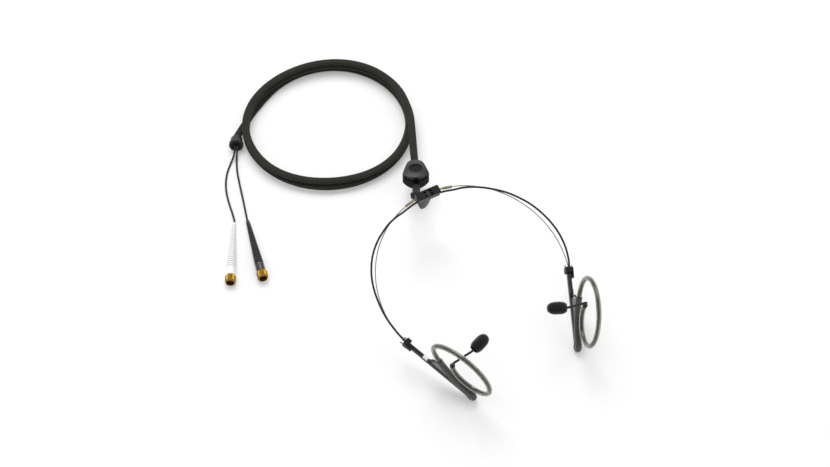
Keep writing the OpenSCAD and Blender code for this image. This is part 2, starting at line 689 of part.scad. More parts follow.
// Arc i of the chain in the plane of the ear, its section moved outwards by shift
module ring_arc(i, from, to, shift = 0) {
    c = ring_centre(i);
    translate([c.x, c.y, 0])
        rotate(ring_heading(i) - 90 + from)
            rotate_extrude(angle = to - from, $fn = 144)
                translate([ring[i][0] + shift, 0])
                    children();
}
module ear_arm(side) {
    port_dir = [cos(port_heading), sin(port_heading)];
    color("#2d2d2b")
        difference() {
            union() {
                on_arm(side) {
                    along_y()
                        linear_extrude(arm_len)
                            strut_section();
                    translate([0, -0.5, 0])
                        along_y()
                            cylinder(r1 = foot_r - 0.15, r2 = strut_w / 2 - 0.1, h = 6.5);
                }
                ear_plane(side) {
                    translate([0, foot_turn_r])
                        rotate(90 + arm_lead)
                            rotate_extrude(angle = 180 - arm_lead)
                                intersection() {
                                    translate([foot_turn_r, 0])
                                        circle(r = foot_r);
                                    translate([0, -foot_r])
                                        square([2 * foot_r + foot_turn_r, 2 * foot_r]);
                                }
                    ring_arc(0, -lap_turn(hook_r), hook_turn)
                        circle(r = foot_r - seam);
                    translate([0, 0, -web_t / 2])
                        linear_extrude(web_t)
                            difference() {
                                polygon([[0, 0], [web_foot.x, 0], web_foot, web_head, hook_end,
                                    [0, hook_end.y]]);
                                translate(ring_centre(0))
                                    circle(r = hook_r, $fn = 144);
                            }
                    translate([port_at.x, port_at.y, 0])
                        rotate([0, 0, port_heading])
                            rotate([0, 90, 0])
                                cylinder(d = port_d, h = port_len);
                }
            }
            ear_plane(side) {
                ring_arc(0, hook_turn - root_turn, hook_turn + 1)
                    circle(d = ferrule_d + 2 * run_gap);
                translate([hook_end.x, hook_end.y, 0])
                    rotate(arm_lead + hook_turn)
                        translate([0, -8, -8])
                            cube([8, 16, 16]);
                translate([port_at.x - port_dir.x, port_at.y - port_dir.y, 0])
                    rotate([0, 0, port_heading])
                        rotate([0, 90, 0])
                            cylinder(d = cable_d + 2 * run_gap, h = port_hole + 1);
            }
            on_arm(side) {
                translate([0, arm_len - wire_grip, side * wire_gap / 2])
                    along_y()
                        cylinder(d = wire_d, h = wire_grip + 1);
                translate([0, marker_at, cable_seat])
                    along_y()
                        cylinder(d = cable_d + 2 * run_gap, h = arm_len);
                translate([0, marker_at - marker_len / 2 - 1.5, cable_seat])
                    along_y()
                        cylinder(d = marker_d + 2 * run_gap, h = marker_len + 1.5 + easy_gap);
            }
        }
}
module marker_sleeve(side, shade) {
    color(shade)
        on_arm(side)
            translate([0, marker_at - marker_len / 2, cable_seat])
                along_y()
                    difference() {
                        cylinder(d = marker_d, h = marker_len);
                        translate([0, 0, -1])
                            cylinder(d = cable_d + 2 * run_gap, h = marker_len + 2);
                    }
}
module ferrule(side) {
    color("#6d685a")
        ear_plane(side)
            ring_arc(0, hook_turn - root_turn, hook_turn + ferrule_turn)
                difference() {
                    circle(d = ferrule_d);
                    circle(d = ferrule_bore);
                }
}
// Tube along every arc of the ring, from an angle round the first one to an angle round the last one
module ring_chain(from, to, shift, d, bore = 0) {
    for (i = [0:last])
        ring_arc(i, i == 0 ? from : -lap_turn(ring[i][0]), i == last ? to : ring[i][1], shift)
            difference() {
                circle(d = d - i * seam);
                if (bore > 0)
                    circle(d = bore + i * seam);
            }
}
module ring_tube(side) {
    color("#74756c", 0.5)
        ear_plane(side)
            ring_chain(hook_turn, ring[last][1], 0, tube_d, tube_bore);
}
module ring_cable(side) {
    color("#3c3c36")
        ear_plane(side)
            ring_chain(hook_turn - root_turn, ring[last][1] - tail_turn, cable_shift, ring_cable_d);
}
module ring_wire(side) {
    color("#55534a")
        ear_plane(side)
            ring_chain(hook_turn - root_turn, ring[last][1] - tail_turn, wire_shift, ring_wire_d);
}
// Bush at the open end of the tube, bored for the boom
module tube_plug(side) {
    color("#50504a")
        difference() {
            ear_plane(side)
                ring_arc(last, ring[last][1] - tail_turn, ring[last][1] - 2)
                    circle(d = tube_bore - 2 * run_gap);
            leaning(side)
                translate(boom_from - plug_back * boom_up)
                    aimed(boom_up)
                        cylinder(d = boom_d + 2 * run_gap, h = plug_back + 1);
        }
}

module mic_boom(side) {
    color("#2a2a2a")
        leaning(side) {
            translate(boom_from - plug_back * boom_up)
                aimed(boom_up)
                    cylinder(d = boom_d, h = plug_back + pin_out);
            tube(boom_path, boom_d - 0.06, boom_d - 0.06, 12, [0, 1, 0]);
        }
}
module on_capsule(side) {
    leaning(side)
        translate(capsule_at)
            aimed(capsule_dir)
                children();
}
// Each grid bar crosses the front of the capsule
module mic_capsule(side) {
    color("#1f1f1f")
        on_capsule(side)
            rotate_extrude()
                polygon([[0, 0], [boom_d / 2 + 0.4, 0], [capsule_d / 2 - 0.4, capsule_boot - 0.4],
                    [capsule_d / 2, capsule_boot], [capsule_d / 2, capsule_len - grid_len],
                    [capsule_d / 2 - 0.35, capsule_len - grid_len],
                    [capsule_d / 2 - 0.35, capsule_len - grid_len + 1], [0, capsule_len - grid_len + 1]]);
}
module mic_grid(side) {
    color("#77736a")
        on_capsule(side)
            difference() {
                translate([0, 0, capsule_len - grid_len + run_gap])
                    cylinder(d = capsule_d, h = grid_len - run_gap);
                translate([0, 0, capsule_len - grid_len - 1])
                    cylinder(d = capsule_d - 0.7 + 2 * run_gap, h = grid_len + 0.5);
                for (i = [-1:1])
                    translate([i * 1.3 - 0.3, -capsule_d / 2 + 0.9, capsule_len - 1])
                        cube([0.6, capsule_d - 1.8, 2]);
            }
}
// Half width of the foam at a share of its length
function foam_r(t) = foam_d / 2 * pow(1 - pow(abs(2 * t - 1), 3), 1 / 2.4);
module windscreen(side) {
    color("#222222")
        on_capsule(side)
            translate([0, 0, -foam_lap])
                rotate_extrude()
                    difference() {
                        polygon(concat([[0, 0]], [for (i = [1:17]) [foam_r(i / 18), foam_len * i / 18]],
                            [[0, foam_len]]));
                        square([2 * (capsule_d / 2 + rest_gap), 2 * foam_bore_len], center = true);
                    }
}

// Outline of the clip, pointed towards the coil
front_c = [0, clip_front_r - clip_len / 2];
front_turn = asin((clip_w / 2 - clip_corner) / (clip_front_r - clip_corner));
corner_c = front_c + (clip_front_r - clip_corner) * [sin(front_turn), -cos(front_turn)];
apex_c = [0, clip_len / 2 - clip_apex];
side_turn = edge_angle([corner_c.x, corner_c.y, clip_corner], [apex_c.x, apex_c.y, clip_apex]);
function arc(c, r, from, to, n) = [for (i = [0:n]) let (a = from + (to - from) * i / n)
    c + r * [cos(a), sin(a)]];
module clip_outline(inset = 0) {
    half = concat(arc(front_c, clip_front_r - inset, -90, front_turn - 90, 6),
        arc(corner_c, clip_corner - inset, front_turn - 80, side_turn, 7),
        arc(apex_c, clip_apex - inset, side_turn, 90, 10));
    polygon(concat(half, [for (i = [len(half) - 2:-1:1]) [-half[i].x, half[i].y]]));
}
module on_clip() {
    translate(clip_pos)
        rotate([0, 0, -clip_heading])
            rotate([-clip_pitch, 0, 0])
                children();
}
module clip_solid(inset) {
    intersection() {
        translate([0, 0, clip_low + inset])
            linear_extrude(clip_body_h + (inset > 0 ? 1 : 0))
                clip_outline(inset);
        translate([0, -clip_len, clip_low + belly_r])
            along_y()
                cylinder(r = belly_r - inset, h = 2 * clip_len, $fn = 96);
    }
}
module at_pin() {
    translate([0, pin_y, pin_z])
        children();
}
module clip_body() {
    mouth_w = clip_w - 2 * clip_corner - 1;
    color("#1d1d1c")
        on_clip()
            difference() {
                union() {
                    difference() {
                        clip_solid(0);
                        clip_solid(clip_wall);
                    }
                    intersection() {
                        clip_solid(0);
                        translate([-clip_w, -clip_len / 2 - 1, tongue_top - tongue_t])
                            cube([2 * clip_w, 4.2, tongue_t]);
                    }
                }
                translate([-mouth_w / 2, -clip_len, tongue_top])
                    cube([mouth_w, clip_len, clip_body_h]);
                translate([0, -clip_len, 0])
                    along_y()
                        linear_extrude(2 * clip_len)
                            stadium(cord_w + 2 * easy_gap, cord_t + 2 * easy_gap);
                at_pin() {
                    rotate([0, 90, 0])
                        cylinder(d = clip_pin_d, h = clip_w, center = true);
                    rotate([-clip_open, 0, 0])
                        translate([-clip_w, -clip_len / 8, clip_rim + clip_gap - rest_gap - pin_z])
                            cube([2 * clip_w, clip_len, clip_body_h]);
                }
            }
}
module clip_jaw() {
    lid_z = clip_rim + clip_gap;
    teeth_w = clip_w - 2 * clip_corner - 2.4;
    tooth_w = teeth_w / clip_teeth;
    tooth_top = lid_z + 0.3;
    tooth_tip = tongue_top + rest_gap;
    tooth_root = tooth_tip + 0.8 * tooth_w;
    color("#55554f")
        on_clip()
            difference() {
                union() {
                    intersection() {
                        translate([0, 0, lid_z])
                            linear_extrude(clip_lid_t)
                                clip_outline();
                        translate([0, 0, lid_z + clip_lid_t - 52])
                            sphere(r = 52, $fn = 120);
                    }
                    intersection() {
                        translate([front_c.x, front_c.y, tooth_tip - 1])
                            difference() {
                                cylinder(r = clip_front_r - 0.4, h = clip_body_h, $fn = 96);
                                translate([0, 0, -1])
                                    cylinder(r = clip_front_r - 1.6, h = clip_body_h + 2, $fn = 96);
                            }
                        translate([0, -clip_len / 2, 0])
                            along_y()
                                linear_extrude(clip_len / 3)
                                    polygon(concat([[teeth_w / 2, tooth_top], [-teeth_w / 2, tooth_top]],
                                        [for (i = [0:clip_teeth - 1]) let (x = i * tooth_w - teeth_w / 2)
                                            each [[x, tooth_root], [x + tooth_w / 2 - 0.15, tooth_tip],
                                                [x + tooth_w / 2 + 0.15, tooth_tip]]],
                                        [[teeth_w / 2, tooth_root]]));
                    }
                    for (s = [-1, 1])
                        translate([s * ear_x - ear_t / 2, pin_y, 0])
                            rotate([90, 0, 90])
                                linear_extrude(ear_t) {
                                    translate([0, pin_z])
                                        circle(r = clip_pin_d / 2 + 1.1);
                                    translate([-clip_pin_d / 2 - 1.1, pin_z])
                                        square([clip_pin_d + 2.2, tooth_top - pin_z]);
                                }
                }
                at_pin()
                    rotate([0, 90, 0])
                        cylinder(d = clip_pin_d + 2 * run_gap, h = clip_w, center = true);
                translate([0, -1, lid_z + clip_lid_t - emblem_deep - 0.4])
                    cylinder(d = emblem_d, h = clip_lid_t);
            }
}
module clip_hinge_pin() {
    color("#9a9a94")
        on_clip()
            at_pin()
                rotate([0, 90, 0])
                    cylinder(d = clip_pin_d, h = 2 * clip_apex - 1.8, center = true);
}
// Torsion spring round the pin, one end under the upper jaw and the other on the floor of the lower
module clip_spring() {
    r = spring_d / 2;
    w = 2 * (ear_x - ear_t / 2) - 1.2;
    steps = 8 * spring_turns;
    leg = 4.5;
    short_leg = 3.5;
    coil = [for (i = [0:steps]) let (a = 90 - 360 * i / 8) [-w / 2 + w * i / steps, r * cos(a), r * sin(a)]];
    color("#8c8c86")
        on_clip()
            at_pin()
                tube(concat([[-w / 2, -leg, r - 0.05], [-w / 2, -leg / 2, r]], coil,
                    [[w / 2, short_leg / 2, r - 0.3], [w / 2, short_leg, r - 1]]),
                    spring_wire, spring_wire, 6, [1, 0, 0]);
}

module cord_rise() {
    color("#3a3a36")
        tube(smooth(rise_route, 9), cord_w, cord_t, 10);
}
module cord_coil() {
    color("#3a3a36")
        tube(coil_path, cord_w, cord_t / cos(30), 6);
}
module cord_tail() {
    color("#3a3a36")
        tube(smooth(tail_route, 7), cord_w, cord_t, 10);
}

module on_splitter() {
    translate(split_pos)
        rotate([0, 0, -split_heading])
            rotate([-split_pitch, 0, 0])
                along_y()
                    children();
}
module splitter_sleeve() {
    r = split_d / 2;
    rim = split_rim_d / 2;
    color("#353532")
        on_splitter()
            difference() {
                rotate_extrude()
                    polygon([[split_cup / 2 + 0.6, 0], [rim - 0.3, 0], [rim, 0.3], [rim, split_rim_back],
                        [rim - 0.3, split_rim_back + 0.3], [r, split_rim_len], [r, split_len - split_edge],
                        [r - 0.3, split_len - 0.3], [r - split_edge, split_len], [0, split_len],
                        [0, split_cup_len],
                        [split_cup / 2, split_cup_len], [split_cup / 2, 1]]);
                translate([0, 0, split_cup_len - 1])
                    linear_extrude(split_len)
                        stadium(cord_w + 2 * easy_gap, cord_t + 2 * easy_gap);
            }
}
module splitter_plug() {
    color("#232321")
        on_splitter()
            difference() {
                translate([0, 0, split_plug_from])
                    cylinder(d = split_cup - 2 * run_gap, h = split_cup_len - split_plug_from - run_gap);
                for (s = [-1, 1])
                    translate([s * lead_gap, 0, 0])
                        cylinder(d = lead_d + 2 * easy_gap, h = split_plug_from + lead_grip);
            }
}

module lead(route, shade) {
    color(shade)
        tube(smooth(route, 4), lead_d, lead_d, 8);
}
module on_plug(at, heading) {
    translate(at)
        rotate([0, 0, -heading])
            rotate([-relief_pitch, 0, 0])
                along_y()
                    children();
}
// Flexible relief: ribs from its tip, then a plain sleeve over the stem of the plug
module strain_relief(at, heading, shade) {
    plain = 8;
    from = nut_len + easy_gap;
    ribs_from = from + plain;
    pitch = (relief_tip - 2 - ribs_from) / relief_ribs;
    slope = (relief_d - relief_tip_d) / 2 / (relief_tip - ribs_from);
    groove = 0.8;
    color(shade)
        on_plug(at, heading)
            difference() {
                rotate_extrude()
                    polygon(concat([[0, from], [relief_d / 2 - 0.4, from], [relief_d / 2, from + 0.4],
                        [relief_d / 2, ribs_from]],
                        [for (i = [0:relief_ribs - 1]) let (y = ribs_from + i * pitch,
                            r = relief_d / 2 - slope * (y - ribs_from), g = min(groove, r - lead_d / 2 - 0.45))
                            each [[r, y + pitch * 0.1], [r - g, y + pitch * 0.22], [r - g, y + pitch * 0.48],
                                [r, y + pitch * 0.6]]],
                        [[relief_tip_d / 2, relief_tip - 1], [relief_tip_d / 2 - 0.3, relief_tip],
                            [0, relief_tip]]));
                translate([0, 0, from - 1])
                    cylinder(d = stem_d + 2 * run_gap, h = nut_len + stem_grip - from + 1);
                translate([0, 0, relief_tip - lead_grip])
                    cylinder(d = lead_d + 2 * easy_gap, h = lead_grip + 1);
            }
}
module plug_body(at, heading) {
    color("#b8952f")
        on_plug(at, heading)
            difference() {
                union() {
                    translate([0, 0, stem_from])
                        cylinder(d = stem_d, h = nut_len + stem_grip - stem_from - run_gap);
                    translate([0, 0, flange_from])
                        cylinder(d = nut_bore - 2 * easy_gap, h = nut_wall_from - flange_from - run_gap);
                }
                translate([0, 0, stem_from - 1])
                    cylinder(d = insulator_d + 2 * run_gap, h = 3);
            }
}
module insulator(at, heading) {
    color("#ddd8c8")
        on_plug(at, heading)
            difference() {
                translate([0, 0, insulator_from])
                    cylinder(d = insulator_d, h = stem_from + 2 - run_gap - insulator_from);
                translate([0, 0, 0])
                    cylinder(d = centre_d, h = insulator_from + 1);
            }
}
module centre_pin(at, heading) {
    color("#c9a545")
        on_plug(at, heading)
            rotate_extrude()
                polygon([[0, pin_from], [centre_d / 2 - 0.2, pin_from], [centre_d / 2, pin_from + 0.3],
                    [centre_d / 2, insulator_from + 1], [0, insulator_from + 1]]);
}
module coupling_nut(at, heading) {
    teeth = 30;
    root = nut_d / 2 - 0.32;
    color("#c9a33c")
        on_plug(at, heading)
            difference() {
                union() {
                    translate([0, 0, 0.8])
                        linear_extrude(nut_len - 1.6)
                            polygon([for (i = [0:2 * teeth - 1]) let (r = i % 2 == 0 ? nut_d / 2 : root)
                                r * [cos(180 * i / teeth), sin(180 * i / teeth)]]);
                    cylinder(r1 = root - 0.35, r2 = root, h = 0.5);
                    translate([0, 0, 0.5])
                        cylinder(r = root, h = nut_len - 1);
                    translate([0, 0, nut_len - 0.5])
                        cylinder(r1 = root, r2 = root - 0.35, h = 0.5);
                }
                translate([0, 0, -1])
                    cylinder(d = nut_bore, h = mouth_len + 1.5);
                translate([0, 0, mouth_len])
                    cylinder(d = nut_bore + 0.5, h = nut_wall_from - mouth_len);
                cylinder(d = stem_d + 2 * easy_gap, h = nut_len + 1);
            }
}

// Least distance from one turn of the coil to the next, measured on the points of its section
function coil_section(i) = let (d = tangent(coil_path, i), s = unit(cross(d, [0, 0, 1])), u = cross(s, d))
    [for (k = [0:5]) coil_path[i] + s * cord_w / 2 * cos(60 * k)
        + u * cord_t / 2 / cos(30) * sin(60 * k)];
function turn_gap(i) = let (a = coil_section(i), b = coil_section(i + coil_rings))
    min([for (p = a, q = b) norm(p - q)]);
echo(least_gap = min([for (i = [1:coil_steps - coil_rings]) turn_gap(i)]));
echo(foot = foot_x, apex = apex_y, high = coil_high);

block_housing();
block_back_cover();
wire_lock();
band_wire(left);  // left_band_wire
tail_crimp(left);  // left_tail_crimp
mic_cable(left);  // left_mic_cable
collar(left);  // left_collar
ear_arm(left);  // left_ear_arm
marker_sleeve(left, "#efefea");  // left_marker_sleeve
ferrule(left);  // left_ferrule
ring_tube(left);  // left_ring_tube
ring_cable(left);  // left_ring_cable
ring_wire(left);  // left_ring_wire
tube_plug(left);  // left_tube_plug
mic_boom(left);  // left_mic_boom
mic_capsule(left);  // left_mic_capsule
mic_grid(left);  // left_mic_grid
windscreen(left);  // left_windscreen
band_wire(right);  // right_band_wire
tail_crimp(right);  // right_tail_crimp
mic_cable(right);  // right_mic_cable
collar(right);  // right_collar
ear_arm(right);  // right_ear_arm
marker_sleeve(right, "#8e2a24");  // right_marker_sleeve
ferrule(right);  // right_ferrule
ring_tube(right);  // right_ring_tube
ring_cable(right);  // right_ring_cable
ring_wire(right);  // right_ring_wire
tube_plug(right);  // right_tube_plug
mic_boom(right);  // right_mic_boom
mic_capsule(right);  // right_mic_capsule
mic_grid(right);  // right_mic_grid
windscreen(right);  // right_windscreen
clip_body();
clip_jaw();
clip_hinge_pin();
clip_spring();
cord_rise();
cord_coil();
cord_tail();
splitter_sleeve();
splitter_plug();
lead(white_route, "#303030");  // white_lead
strain_relief(white_at, white_heading, "#ecece8");  // white_strain_relief
plug_body(white_at, white_heading);  // white_plug_body
insulator(white_at, white_heading);  // white_insulator
centre_pin(white_at, white_heading);  // white_centre_pin
coupling_nut(white_at, white_heading);  // white_coupling_nut
lead(black_route, "#303030");  // black_lead
strain_relief(black_at, black_heading, "#242424");  // black_strain_relief
plug_body(black_at, black_heading);  // black_plug_body
insulator(black_at, black_heading);  // black_insulator
centre_pin(black_at, black_heading);  // black_centre_pin
coupling_nut(black_at, black_heading);  // black_coupling_nut
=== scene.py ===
import math

import bpy
import numpy as np
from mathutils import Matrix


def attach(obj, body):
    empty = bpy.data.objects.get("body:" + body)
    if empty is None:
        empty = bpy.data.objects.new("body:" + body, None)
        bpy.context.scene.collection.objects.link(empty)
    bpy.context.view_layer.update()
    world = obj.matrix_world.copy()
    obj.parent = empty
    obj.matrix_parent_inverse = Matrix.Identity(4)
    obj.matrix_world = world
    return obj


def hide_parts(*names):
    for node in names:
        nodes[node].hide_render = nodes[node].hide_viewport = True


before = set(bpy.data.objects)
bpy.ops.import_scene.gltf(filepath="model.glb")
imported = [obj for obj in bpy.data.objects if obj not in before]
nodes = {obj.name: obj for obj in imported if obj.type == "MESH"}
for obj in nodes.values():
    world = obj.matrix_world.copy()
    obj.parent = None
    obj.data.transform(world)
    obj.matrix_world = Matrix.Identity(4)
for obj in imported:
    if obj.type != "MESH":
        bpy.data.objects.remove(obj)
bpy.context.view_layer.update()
mm = 0.001
up = np.array([0.0, 0.0, 1.0])
print("model loaded:", len(nodes), "solids")


# A new object of the scene, at a place and turned to look at another
def aimed(name, data, place, aim):
    made = bpy.data.objects.new(name, data)
    bpy.context.scene.collection.objects.link(made)
    made.location = place
    away = made.location.copy()
    away.x, away.y, away.z = (p - a for p, a in zip(place, aim))
    made.rotation_euler = away.to_track_quat("Z", "Y").to_euler()
    return made


# Camera, in metres
view = {"place": (-0.4937, -0.7902, 1.2434), "aim": (-0.0063, 0.0910, 0.0), "lens": 86.75, "sensor": 36,
    "nearest": 0.05}
cameraData = bpy.data.cameras.new("camera")
cameraData.lens = view["lens"]
cameraData.sensor_width = view["sensor"]
cameraData.clip_start = view["nearest"]
bpy.context.scene.camera = aimed("camera", cameraData, view["place"], view["aim"])


# Vectors made one long
def unit(v):
    return v / np.maximum(np.linalg.norm(v, axis=-1, keepdims=True), 1e-12)


# Catmull-Rom curve through the points: half the sum of each power of t times its mix of four neighbours
def curve(points, step):
    p = np.asarray(points, float)
    p = np.vstack([2 * p[0] - p[1], p, 2 * p[-1] - p[-2]])
    s = np.linspace(0, len(p) - 3, 40 * (len(p) - 3) + 1)
    i = np.minimum(s.astype(int), len(p) - 4)
    t = (s - i)[:, None]
    a, b, c, d = p[i], p[i + 1], p[i + 2], p[i + 3]
    fine = 0.5 * (2 * b + (c - a) * t + (2 * a - 5 * b + 4 * c - d) * t**2 + (3 * b - a - 3 * c + d) * t**3)
    return even(fine, step)


# Length along a line up to each of its points
def stations(line):
    return np.append(0, np.cumsum(np.linalg.norm(np.diff(line, axis=0), axis=1)))


# The same line with its points one step apart
def even(line, step):
    along = stations(line)
    at = np.linspace(0, along[-1], max(2, round(along[-1] / step) + 1))
    return np.stack([np.interp(at, along, line[:, k]) for k in range(3)], axis=1)


# Whole length of a line: the sum of its steps
def lengthOf(line):
    return float(np.linalg.norm(np.diff(line, axis=0), axis=1).sum())


# Mesh of a grid of points, rows by columns. Columns close round. The ends close to their middle points,
# or the last row to the first, as in a pipe's outer and inner walls
def gridPiece(name, grid, along=None, ring=False):
    rows, columns = grid.shape[:2]
    points = grid.reshape(-1, 3)
    i, k = np.meshgrid(np.arange(rows if ring else rows - 1), np.arange(columns), indexing="ij")
    nextI, nextK = (i + 1) % rows, (k + 1) % columns
    corner = [i * columns + k, nextI * columns + k, nextI * columns + nextK, i * columns + nextK]
    faces = np.stack(corner, -1).reshape(-1, 4)
    v = np.arange(rows + 1.0) if along is None else along
    uAcross = np.stack([k, k, k + 1, k + 1], -1) / columns
    uv = np.stack([uAcross, np.stack([v[i], v[i + 1], v[i + 1], v[i]], -1)], -1).reshape(-1, 2)
    sizes = np.full(len(faces), 4)
    corners = faces.reshape(-1)
    if not ring:
        points = np.vstack([points, grid[0].mean(0), grid[-1].mean(0)])
        r = np.arange(columns)
        start = np.stack([(r + 1) % columns, np.full(columns, rows * columns), r], -1)
        end = np.stack([r, np.full(columns, columns + 1), (r + 1) % columns], -1) + (rows - 1) * columns
        caps = np.vstack([start, end])
        u = np.stack([r, r + 0.5, r + 1], -1) / columns
        capV = np.repeat([v[0], v[-1]], columns)[:, None] * np.ones(3)
        capUv = np.stack([np.vstack([u[:, ::-1], u]), capV], -1)
        corners = np.append(corners, caps.reshape(-1))
        sizes = np.append(sizes, np.full(len(caps), 3))
        uv = np.vstack([uv, capUv.reshape(-1, 2)])
    mesh = bpy.data.meshes.new(name)
    mesh.vertices.add(len(points))
    mesh.vertices.foreach_set("co", (points * mm).astype(np.float32).ravel())
    mesh.loops.add(len(corners))
    mesh.loops.foreach_set("vertex_index", corners.astype(np.int32))
    mesh.polygons.add(len(sizes))
    mesh.polygons.foreach_set("loop_start", np.append(0, np.cumsum(sizes)[:-1]).astype(np.int32))
    mesh.polygons.foreach_set("loop_total", sizes.astype(np.int32))
    mesh.update(calc_edges=True)
    mesh.uv_layers.new(name="surface").data.foreach_set("uv", uv.astype(np.float32).ravel())
    mesh.polygons.foreach_set("use_smooth", np.ones(len(sizes), bool))
    mesh.validate()
    piece = bpy.data.objects.new(name, mesh)
    bpy.context.scene.collection.objects.link(piece)
    return piece


# Side and upper direction at each point of a line. Level: the side is square to the line and to z.
# Otherwise the side turns as little as it can from point to point
def directions(line, level):
    ahead = unit(np.gradient(line, axis=0))
    if level:
        side = unit(np.cross(ahead, up))
    else:
        side = np.zeros_like(line)
        side[0] = unit(np.cross(ahead[0], up if abs(ahead[0][2]) < 0.9 else np.array([1.0, 0, 0])))
        for n in range(1, len(line)):
            side[n] = unit(side[n - 1] - ahead[n] * (side[n - 1] @ ahead[n]))
    return side, np.cross(side, ahead)


# Tube: point = line + side * (width / 2) * c + upper * (thickness / 2) * s, with c and s on a superellipse
def tubePiece(name, line, width, thickness, columns, power=2.0, level=False):
    side, upper = directions(line, level)
    angle = np.linspace(0, 2 * np.pi, columns, endpoint=False)
    c = np.sign(np.cos(angle)) * np.abs(np.cos(angle)) ** (2 / power)
    s = np.sign(np.sin(angle)) * np.abs(np.sin(angle)) ** (2 / power)
    across = side[:, None] * (c * width / 2)[None, :, None]
    through = upper[:, None] * (s * thickness / 2)[None, :, None]
    return gridPiece(name, line[:, None] + (across + through), stations(line))


# Places are in millimetres and turns in degrees from here on
def sine(degrees):
    return math.sin(math.radians(degrees))


def cosine(degrees):
    return math.cos(math.radians(degrees))


# A point given across, along and above a piece that lies at a place, turned to a heading and pitched down
def laid(piece, across, along, above):
    x, y, z = piece["at"]
    heading, pitch = piece["heading"], piece["pitch"]
    level = cosine(pitch) * along + sine(pitch) * above
    right = cosine(heading) * across + sine(heading) * level
    ahead = cosine(heading) * level - sine(heading) * across
    return [x + right, y + ahead, z + cosine(pitch) * above - sine(pitch) * along]


# The band in its own plane: three arcs on each side, from the middle of the back to the end of the ear arm
band = {"back": 74.5, "backSweep": 50, "side": 79.5, "hip": 28, "hipSweep": 8, "toeIn": 23.5, "tilt": 19,
    "setback": 68}
arm = {"length": 62, "lean": 3.5, "thick": 5.2, "footTurn": 2.5}
backRadius, sideRadius, hipRadius, toe = (band[key] for key in ("back", "side", "hip", "toeIn"))
hipFrom = 90 + toe - band["hipSweep"]
arm["out"] = ((backRadius - sideRadius) * sine(band["backSweep"]) + (sideRadius - hipRadius) * sine(hipFrom)
    + hipRadius * cosine(toe) - arm["length"] * sine(toe))
hipMiddle = (arm["out"] + arm["length"] * sine(toe) - hipRadius * cosine(toe),
    arm["length"] * cosine(toe) + hipRadius * sine(toe))
hipToward = (sine(hipFrom), cosine(hipFrom))
sideMiddle = tuple(m - (sideRadius - hipRadius) * d for m, d in zip(hipMiddle, hipToward))
backMiddle = (0.0, sideMiddle[1] - (backRadius - sideRadius) * cosine(band["backSweep"]))
apexY = backMiddle[1] + backRadius
slant = sine(toe) * sine(band["tilt"])
band["lift"] = (arm["footTurn"] * math.sqrt(1 - slant**2) + arm["thick"] / 2
    - arm["footTurn"] * cosine(band["tilt"]))
arcs = ((backMiddle, backRadius, 0, band["backSweep"]), (sideMiddle, sideRadius, band["backSweep"], hipFrom),
    (hipMiddle, hipRadius, hipFrom, 180))


# Point at a length along the wire from its middle, outside it by a distance, at a height over its plane
def bandPoint(length, outside, height):
    for middle, radius, start, end in arcs:
        angle = start + math.degrees(length / radius)
        if angle <= end:
            break
        length -= radius * math.radians(end - start)
    reach = radius + outside
    return [middle[0] + reach * sine(angle), middle[1] + reach * cosine(angle), height]


# From the plane of the band to the world: mirror for the left side, turn by the tilt about x, then lift
def toWorld(points, side=1):
    x, y, z = np.moveaxis(np.asarray(points, float), -1, 0)
    s, c = sine(band["tilt"]), cosine(band["tilt"])
    return np.stack([side * x, y * c - z * s - band["setback"], y * s + z * c + band["lift"]], -1)


# From the arm's own axes (outwards, along, up) to the plane of the band. A share of the lean turns the
# points about the arm
def onArm(points, share=1.0):
    n, a, b = np.moveaxis(np.asarray(points, float), -1, 0)
    lean = np.radians(arm["lean"] * share)
    n, b = n * np.cos(lean) + b * np.sin(lean), b * np.cos(lean) - n * np.sin(lean)
    return np.stack([arm["out"] + n * cosine(toe) + a * sine(toe), a * cosine(toe) - n * sine(toe), b], -1)


# Where the clip lies on the cord
clip = {"at": (16.6, 131.4, 15.6), "heading": 27, "pitch": 13}
# Splitter and plugs rest on the floor with a thick and a thin end, which sets their pitch and height
splitter = {"heading": 28, "length": 9, "rim": 11.8, "barrel": 9.8, "rimBack": 2.6, "edge": 1,
    "plugFrom": 1.4}
taper = splitter["length"] - splitter["edge"] - splitter["rimBack"]
splitter["pitch"] = math.degrees(math.asin((splitter["rim"] - splitter["barrel"]) / 2 / taper))
rimHeight = splitter["rim"] / 2 * cosine(splitter["pitch"]) + splitter["rimBack"] * sine(splitter["pitch"])
splitter["at"] = (-92.8, 239.6, rimHeight)
plug = {"nut": 8.6, "nutLength": 6.8, "relief": 56, "tip": 3, "lift": 0.1, "ribsFrom": 14.95,
    "ribPitch": 2.2925, "bareTip": 2, "groove": (0.08, 0.62)}
plug["pitch"] = math.degrees(math.asin((plug["nut"] / 2 - plug["tip"] / 2 - plug["lift"]) / plug["relief"]))
plugHeight = plug["nut"] / 2 * cosine(plug["pitch"]) + plug["nutLength"] * sine(plug["pitch"])
plugs = {"white": {"at": (-158.5, 114.2, plugHeight), "heading": 28.3, "pitch": plug["pitch"]},
    "black": {"at": (-134, 105.6, plugHeight), "heading": 14.5, "pitch": plug["pitch"]}}
cord = {"width": 6.2, "thickness": 3.6, "middle": (-15.5, 225.2), "radius": 68, "pitch": 4.1, "from": -16,
    "to": 841, "draw": ((96, 70, 0.058), (246, 55, 0.042), (456, 70, 0.064), (841, 80, 0.074)), "points": 58}
high = cord["thickness"] / 2 + cord["pitch"] * (cord["to"] - cord["from"]) / 360


# The coil: its radius draws in by a raised cosine about each angle listed
def coilPoint(turn):
    share = sum(d * (1 + cosine(180 * (turn - a) / w)) / 2 for a, w, d in cord["draw"] if abs(turn - a) < w)
    radius = cord["radius"] * (1 - share)
    x, y = cord["middle"]
    height = high - cord["pitch"] * (turn - cord["from"]) / 360
    return np.array([x + radius * cosine(turn), y + radius * sine(turn), height])


